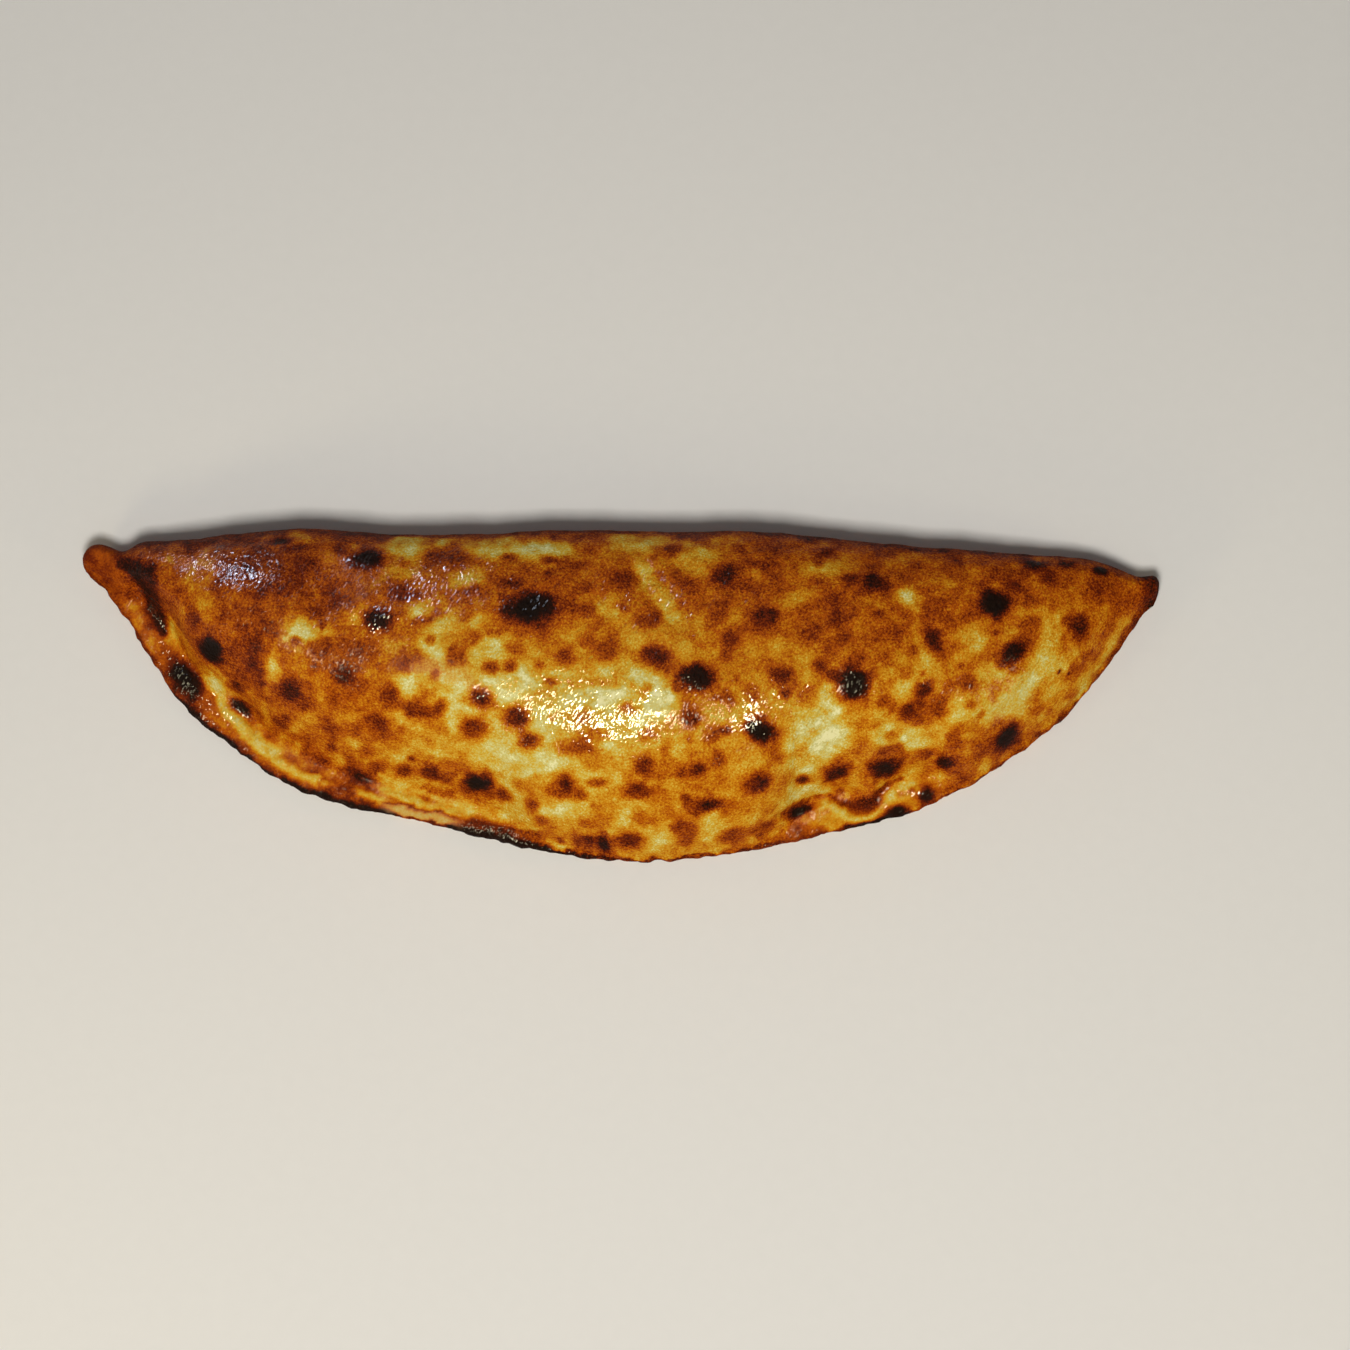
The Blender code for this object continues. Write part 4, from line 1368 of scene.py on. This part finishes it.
def skin(name, grid):
    """One closed mesh object through the grid of points, with a point at each tip."""
    count, around, _ = grid.shape
    ends = [(LEFT_TIP, grid[0].mean(axis=0)), (RIGHT_TIP, grid[-1].mean(axis=0))]
    tips = np.array([(x, middle[1], middle[2]) for x, middle in ends])
    points = np.concatenate([grid.reshape(-1, 3), tips]) * MM
    index = np.arange(count * around).reshape(count, around)
    after = np.roll(index, -1, axis=1)
    quads = np.stack([index[:-1], index[1:], after[1:], after[:-1]], axis=-1).reshape(-1, 4)
    faces = quads.tolist()
    left, right = count * around, count * around + 1
    faces += [(left, int(a), int(b)) for a, b in zip(index[0], after[0])]
    faces += [(right, int(b), int(a)) for a, b in zip(index[-1], after[-1])]
    data = bpy.data.meshes.new(name)
    data.from_pydata(points.tolist(), [], faces)
    data.validate()
    data.shade_smooth()
    made = bpy.data.objects.new(name, data)
    bpy.context.scene.collection.objects.link(made)
    return made


def store(data, name, values):
    """Keeps one number for each point of the mesh, the tips taking their neighbours'."""
    kept = data.attributes.new(name, "FLOAT", "POINT")
    ends = [values[0].mean(), values[-1].mean()]
    kept.data.foreach_set("value", np.concatenate([values.ravel(), ends]).astype(np.float32))


def linear(red, green, blue):
    """A colour given as it looks on a screen, 0 to 255, as light."""
    shares = [part / 255 for part in (red, green, blue)]
    return tuple(s / 12.92 if s <= 0.04045 else ((s + 0.055) / 1.055) ** 2.4 for s in shares)


class Nodes:
    """Short calls that add and join the nodes of one material."""

    def __init__(self, material):
        material.use_nodes = True
        self.tree = material.node_tree
        self.shader = self.tree.nodes["Principled BSDF"]
        self.place = self.tree.nodes.new("ShaderNodeTexCoord").outputs["Object"]

    def new(self, kind, **settings):
        """A node of one kind with its own settings."""
        node = self.tree.nodes.new(kind)
        for key, value in settings.items():
            setattr(node, key, value)
        return node

    def feed(self, value, socket):
        """Joins a socket to another one, or sets it to a plain value."""
        if isinstance(value, bpy.types.NodeSocket):
            self.tree.links.new(value, socket)
        else:
            socket.default_value = value

    def stored(self, name):
        """A number kept on the points of the mesh."""
        return self.new("ShaderNodeAttribute", attribute_name=name).outputs["Fac"]

    def along(self):
        """Place along the bread, in metres."""
        node = self.new("ShaderNodeSeparateXYZ")
        self.feed(self.place, node.inputs["Vector"])
        return node.outputs["X"]

    def noise(self, wave, detail=3.0, roughness=0.6, distortion=0.0, stretch=(1.0, 1.0, 1.0), turn=0.0):
        """Noise with one bump for about each wave, in metres, drawn out along an axis turned in plan."""
        node = self.new("ShaderNodeTexNoise")
        place = self.new("ShaderNodeMapping", vector_type="TEXTURE")
        place.inputs["Rotation"].default_value = (0.0, 0.0, math.radians(turn))
        place.inputs["Scale"].default_value = stretch
        self.feed(self.place, place.inputs["Vector"])
        self.feed(place.outputs["Vector"], node.inputs["Vector"])
        node.inputs["Scale"].default_value = 1 / wave
        node.inputs["Detail"].default_value = detail
        node.inputs["Roughness"].default_value = roughness
        node.inputs["Distortion"].default_value = distortion
        return node.outputs["Fac"]

    def cells(self, wave):
        """Round cells, one for about each wave, in metres."""
        node = self.new("ShaderNodeTexVoronoi")
        self.feed(self.place, node.inputs["Vector"])
        node.inputs["Scale"].default_value = 1 / wave
        return node.outputs["Distance"]

    def sum(self, operation, first, second, third=None):
        """One piece of arithmetic on two or three values."""
        node = self.new("ShaderNodeMath", operation=operation)
        self.feed(first, node.inputs[0])
        self.feed(second, node.inputs[1])
        if third is not None:
            self.feed(third, node.inputs[2])
        return node.outputs[0]

    def ranged(self, value, low, high, to_low, to_high):
        """A value taken smoothly from one range to another."""
        node = self.new("ShaderNodeMapRange", interpolation_type="SMOOTHSTEP")
        for socket, given in zip(node.inputs, (value, low, high, to_low, to_high)):
            self.feed(given, socket)
        return node.outputs[0]

    def mixed(self, share, first, second, blend="MIX"):
        """Two colours mixed by a share of the second."""
        node = self.new("ShaderNodeMix", data_type="RGBA", blend_type=blend)
        colours = [socket for socket in node.inputs if socket.type == "RGBA"]
        self.feed(share, node.inputs[0])
        self.feed(first, colours[0])
        self.feed(second, colours[1])
        return next(socket for socket in node.outputs if socket.type == "RGBA")

    def ramp(self, value, stops):
        """The colour that belongs to a value between the stops."""
        node = self.new("ShaderNodeValToRGB")
        ramp = node.color_ramp
        while len(ramp.elements) > 1:
            ramp.elements.remove(ramp.elements[-1])
        for number, (at, colour) in enumerate(stops):
            stop = ramp.elements[0] if number == 0 else ramp.elements.new(at)
            stop.position = at
            stop.color = (*colour, 1.0)
        self.feed(value, node.inputs["Fac"])
        return node.outputs["Color"]

    def bumped(self, height, distance, strength, below=None):
        """Fine relief of one height, in metres, laid over the relief below it."""
        node = self.new("ShaderNodeBump")
        node.inputs["Distance"].default_value = distance
        self.feed(strength, node.inputs["Strength"])
        self.feed(height, node.inputs["Height"])
        if below is not None:
            self.feed(below, node.inputs["Normal"])
        return node.outputs["Normal"]


def baked_material(settings):
    """Baked, buttered dough: its colour follows the tone stored on the crust."""
    material = bpy.data.materials.new("baked_buttered_crust")
    nodes = Nodes(material)
    shader = nodes.shader
    tone = nodes.stored("tone")
    butter = nodes.stored("butter")
    dull = nodes.stored("dull")
    calm = nodes.stored("calm")

    stipple = nodes.noise(STIPPLE_WAVE, 3.0, 0.7)
    blotch = nodes.noise(BLOTCH_WAVE, 4.0, 0.6)
    unburnt = nodes.ranged(tone, 0.8, 0.98, 1.0, 0.25)
    dotted = nodes.sum("MULTIPLY_ADD", calm, -0.55, 0.85)
    dotted = nodes.sum("MULTIPLY", dotted, nodes.ranged(tone, 0.0, 0.3, 0.45, 1.0))
    wander = nodes.sum("MULTIPLY", nodes.sum("SUBTRACT", stipple, 0.5), dotted)
    wander = nodes.sum("MULTIPLY_ADD", nodes.sum("SUBTRACT", blotch, 0.5), 0.5, wander)
    fine_tone = nodes.sum("MULTIPLY_ADD", wander, unburnt, tone)
    colour = nodes.ramp(
        fine_tone,
        (
            (0.0, linear(*RAW_DOUGH)),
            (0.07, settings.pale_dough),
            (0.18, linear(*CREAM_CRUST)),
            (0.34, settings.golden_crust),
            (0.5, linear(*ORANGE_CRUST)),
            (0.68, settings.brown_crust),
            (0.84, linear(*DARK_CRUST)),
            (0.97, settings.charred_crust),
        ),
    )
    drift = nodes.noise(DRIFT_WAVE, 2.0, 0.5)
    warmth = nodes.ranged(drift, 0.45, 0.75, 0.0, 0.3)
    warmed = nodes.mixed(warmth, colour, WARM_TINT, "MULTIPLY")
    flour = nodes.sum("MULTIPLY", dull, 0.4)
    dusty = nodes.mixed(flour, warmed, (*linear(*FLOURED_CRUST), 1.0))
    nodes.feed(dusty, shader.inputs["Base Color"])

    grease = nodes.noise(GREASE_WAVE, 3.0, 0.6)
    sheen = nodes.sum("MULTIPLY", butter, nodes.ranged(grease, 0.3, 0.65, 0.35, 1.0))
    rough = nodes.ranged(sheen, 0.0, 0.8, 0.75, 0.6)
    rough = nodes.sum("MULTIPLY_ADD", nodes.sum("SUBTRACT", stipple, 0.5), 0.16, rough)
    nodes.feed(rough, shader.inputs["Roughness"])
    nodes.feed(nodes.sum("MULTIPLY", sheen, settings.butter), shader.inputs["Coat Weight"])
    shader.inputs["Coat Roughness"].default_value = 0.02
    shader.inputs["Coat IOR"].default_value = 1.6
    shader.inputs["Specular IOR Level"].default_value = 0.05

    wrinkles = nodes.noise(WRINKLE_WAVE, 0.5, 0.5, 0.3, WRINKLE_STRETCH, WRINKLE_TURN)
    pits = nodes.cells(PIT_WAVE)
    burnt = nodes.ranged(tone, 0.78, 0.95, 0.0, 1.0)
    pimples = nodes.noise(PIMPLE_WAVE, 4.0, 0.6, 0.4)
    crackle = nodes.sum("MULTIPLY", pits, burnt)
    under_skin = nodes.bumped(pimples, PIMPLE_HEIGHT, 0.5)
    skin_grain = nodes.bumped(wrinkles, WRINKLE_HEIGHT, 0.75, under_skin)
    charred_skin = nodes.bumped(crackle, PIT_HEIGHT, 0.5, skin_grain)
    nodes.feed(charred_skin, shader.inputs["Normal"])
    dimples = nodes.noise(DIMPLE_WAVE, 0.0, 0.5, 0.3)
    butter_skin = nodes.bumped(dimples, DIMPLE_HEIGHT, 0.36)
    crinkled = nodes.ranged(nodes.along(), -0.05, -0.02, 0.75, 0.5)
    crinkled = nodes.sum("MULTIPLY_ADD", burnt, 0.25, crinkled)
    butter_skin = nodes.bumped(wrinkles, WRINKLE_HEIGHT, crinkled, butter_skin)
    nodes.feed(butter_skin, shader.inputs["Coat Normal"])
    return material


def studio_floor(settings):
    """Plain pale paper with a very faint tooth."""
    material = bpy.data.materials.new("pale_studio_floor")
    nodes = Nodes(material)
    tooth = nodes.noise(TOOTH_WAVE, 3.0, 0.5)
    light = (*settings.floor_colour, 1.0)
    darker = (*[part * TOOTH_DARKENING for part in settings.floor_colour], 1.0)
    nodes.feed(nodes.mixed(tooth, light, darker), nodes.shader.inputs["Base Color"])
    nodes.feed(nodes.bumped(tooth, TOOTH_HEIGHT, 0.2), nodes.shader.inputs["Normal"])
    nodes.shader.inputs["Roughness"].default_value = 0.85
    return material


def lamp(name, aim, power, glossy=True, diffuse=True):
    """One of the lamps, turned towards the aim."""
    place, sides, colour = LAMPS[name]
    light = bpy.data.lights.new(name, "AREA")
    light.shape = "RECTANGLE"
    light.size, light.size_y = sides
    light.energy = power
    light.color = colour
    made = bpy.data.objects.new(name, light)
    made.location = place
    made.rotation_euler = (Vector(aim) - Vector(place)).to_track_quat("-Z", "Y").to_euler()
    made.visible_glossy = glossy
    made.visible_diffuse = diffuse
    bpy.context.scene.collection.objects.link(made)


def colour_setting(name, about, default):
    """A colour that a user may change."""
    return bpy.props.FloatVectorProperty(
        name=name, description=about, subtype="COLOR", size=3, min=0.0, max=1.0, default=default
    )


class PIDE_PG_crust(bpy.types.PropertyGroup):
    """What a user may change about the bread."""

    relief: bpy.props.FloatProperty(
        name="Relief", description="Height of blisters and wrinkles against the usual", subtype="FACTOR",
        min=0.0, max=1.5, default=1.0,
    )
    extra_baking: bpy.props.FloatProperty(
        name="Extra baking", description="Darker or paler all over", min=-0.3, max=0.3, default=0.0,
    )
    butter: bpy.props.FloatProperty(
        name="Butter", description="How strongly the melted butter shines", subtype="FACTOR",
        min=0.0, max=1.0, default=0.9,
    )
    pale_dough: colour_setting("Pale dough", "Least baked dough", linear(*PALE_DOUGH))
    golden_crust: colour_setting("Golden crust", "Evenly baked dough", linear(*GOLDEN_CRUST))
    brown_crust: colour_setting("Brown crust", "Well baked dough", linear(*BROWN_CRUST))
    charred_crust: colour_setting("Charred crust", "Burnt blisters and edge", linear(*CHARRED_CRUST))


class PIDE_PG_stage(bpy.types.PropertyGroup):
    """What a user may change about the stage."""

    floor_side: bpy.props.FloatProperty(
        name="Floor side", description="Length of each side of the floor", unit="LENGTH",
        min=0.5, default=6.0,
    )
    floor_colour: colour_setting("Floor colour", "Colour of the plain floor", (0.8, 0.79, 0.77))
    key_power: bpy.props.FloatProperty(
        name="Key light", description="Power of the light over the bread", unit="POWER",
        min=0.0, default=9.7,
    )
    fill_power: bpy.props.FloatProperty(
        name="Fill light", description="Power of the wide soft light", unit="POWER",
        min=0.0, default=1.6,
    )
    window_power: bpy.props.FloatProperty(
        name="Window light", description="Power of the cool light from the left", unit="POWER",
        min=0.0, default=7.4,
    )
    low_power: bpy.props.FloatProperty(
        name="Low light", description="Power of the left warm light, twice the right one", unit="POWER",
        min=0.0, default=0.6,
    )
    camera_gap: bpy.props.FloatProperty(
        name="Camera distance", description="From the camera to the bread", unit="LENGTH",
        min=0.3, default=1.1,
    )


class PIDE_OT_bread(bpy.types.Operator):
    """Builds the baked bread over its solid"""

    bl_idname = "pide.bread"
    bl_label = "Pide bread"

    def execute(self, context):
        settings = context.scene.pide_crust
        crust = Crust(settings)
        crust.bake()
        bread = skin("pide_crust", crust.raised())
        store(bread.data, "tone", crust.tone)
        store(bread.data, "butter", crust.butter)
        store(bread.data, "dull", crust.dull)
        store(bread.data, "calm", crust.calm)
        bread.data.materials.append(baked_material(settings))
        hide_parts("pide_bread")
        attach(bread, "root")
        return {"FINISHED"}


class PIDE_OT_stage(bpy.types.Operator):
    """Lays the plain floor and sets the lights and the camera"""

    bl_idname = "pide.stage"
    bl_label = "Pide stage"

    def execute(self, context):
        settings = context.scene.pide_stage
        scene = context.scene
        half = settings.floor_side / 2
        data = bpy.data.meshes.new("studio_floor")
        corners = [(-half, -half, 0), (half, -half, 0), (half, half, 0), (-half, half, 0)]
        data.from_pydata(corners, [], [(0, 1, 2, 3)])
        data.materials.append(studio_floor(settings))
        floor = bpy.data.objects.new("studio_floor", data)
        scene.collection.objects.link(floor)

        aim = Vector(CAMERA_AIM)
        lamp("key_light", aim, settings.key_power, glossy=False)
        lamp("glint_light", aim, GLINT_SHARE * settings.key_power, diffuse=False)
        lamp("fill_light", aim, settings.fill_power, glossy=False)
        lamp("window_light", aim, settings.window_power, diffuse=False)
        lamp("low_light_left", aim, settings.low_power)
        lamp("low_light_right", aim, RIGHT_SHARE * settings.low_power)
        world = bpy.data.worlds.new("soft_studio")
        world.use_nodes = True
        background = world.node_tree.nodes["Background"]
        background.inputs["Color"].default_value = AMBIENT_COLOUR
        background.inputs["Strength"].default_value = AMBIENT_STRENGTH
        scene.world = world
        world.cycles_visibility.glossy = False
        scene.view_settings.view_transform = "Standard"

        camera = bpy.data.objects.new("camera", bpy.data.cameras.new("camera"))
        height = math.radians(CAMERA_ELEVATION)
        back = Vector((0, -math.cos(height), math.sin(height)))
        camera.location = aim + back * settings.camera_gap
        camera.rotation_euler = (-back).to_track_quat("-Z", "Y").to_euler()
        camera.data.sensor_width = SENSOR_WIDTH
        camera.data.lens = SENSOR_WIDTH * settings.camera_gap / CAMERA_VIEW_WIDTH
        camera.data.dof.use_dof = False
        scene.collection.objects.link(camera)
        scene.camera = camera
        return {"FINISHED"}


class PIDE_PT_panel(bpy.types.Panel):
    """Lists the pieces of the pide"""

    bl_label = "Pide"
    bl_idname = "PIDE_PT_panel"
    bl_space_type = "VIEW_3D"
    bl_region_type = "UI"
    bl_category = "Pide"

    def draw(self, context):
        for group, operator in (
            (context.scene.pide_crust, PIDE_OT_bread),
            (context.scene.pide_stage, PIDE_OT_stage),
        ):
            box = self.layout.box()
            for name in group.__annotations__:
                box.prop(group, name)
            box.operator(operator.bl_idname)


CLASSES = (PIDE_PG_crust, PIDE_PG_stage, PIDE_OT_bread, PIDE_OT_stage, PIDE_PT_panel)


def register():
    for made in CLASSES:
        bpy.utils.register_class(made)
    bpy.types.Scene.pide_crust = bpy.props.PointerProperty(type=PIDE_PG_crust)
    bpy.types.Scene.pide_stage = bpy.props.PointerProperty(type=PIDE_PG_stage)


def unregister():
    del bpy.types.Scene.pide_crust
    del bpy.types.Scene.pide_stage
    for made in reversed(CLASSES):
        bpy.utils.unregister_class(made)


def main():
    register()
    bpy.ops.pide.bread()
    bpy.ops.pide.stage()


if __name__ == "__main__":
    main()
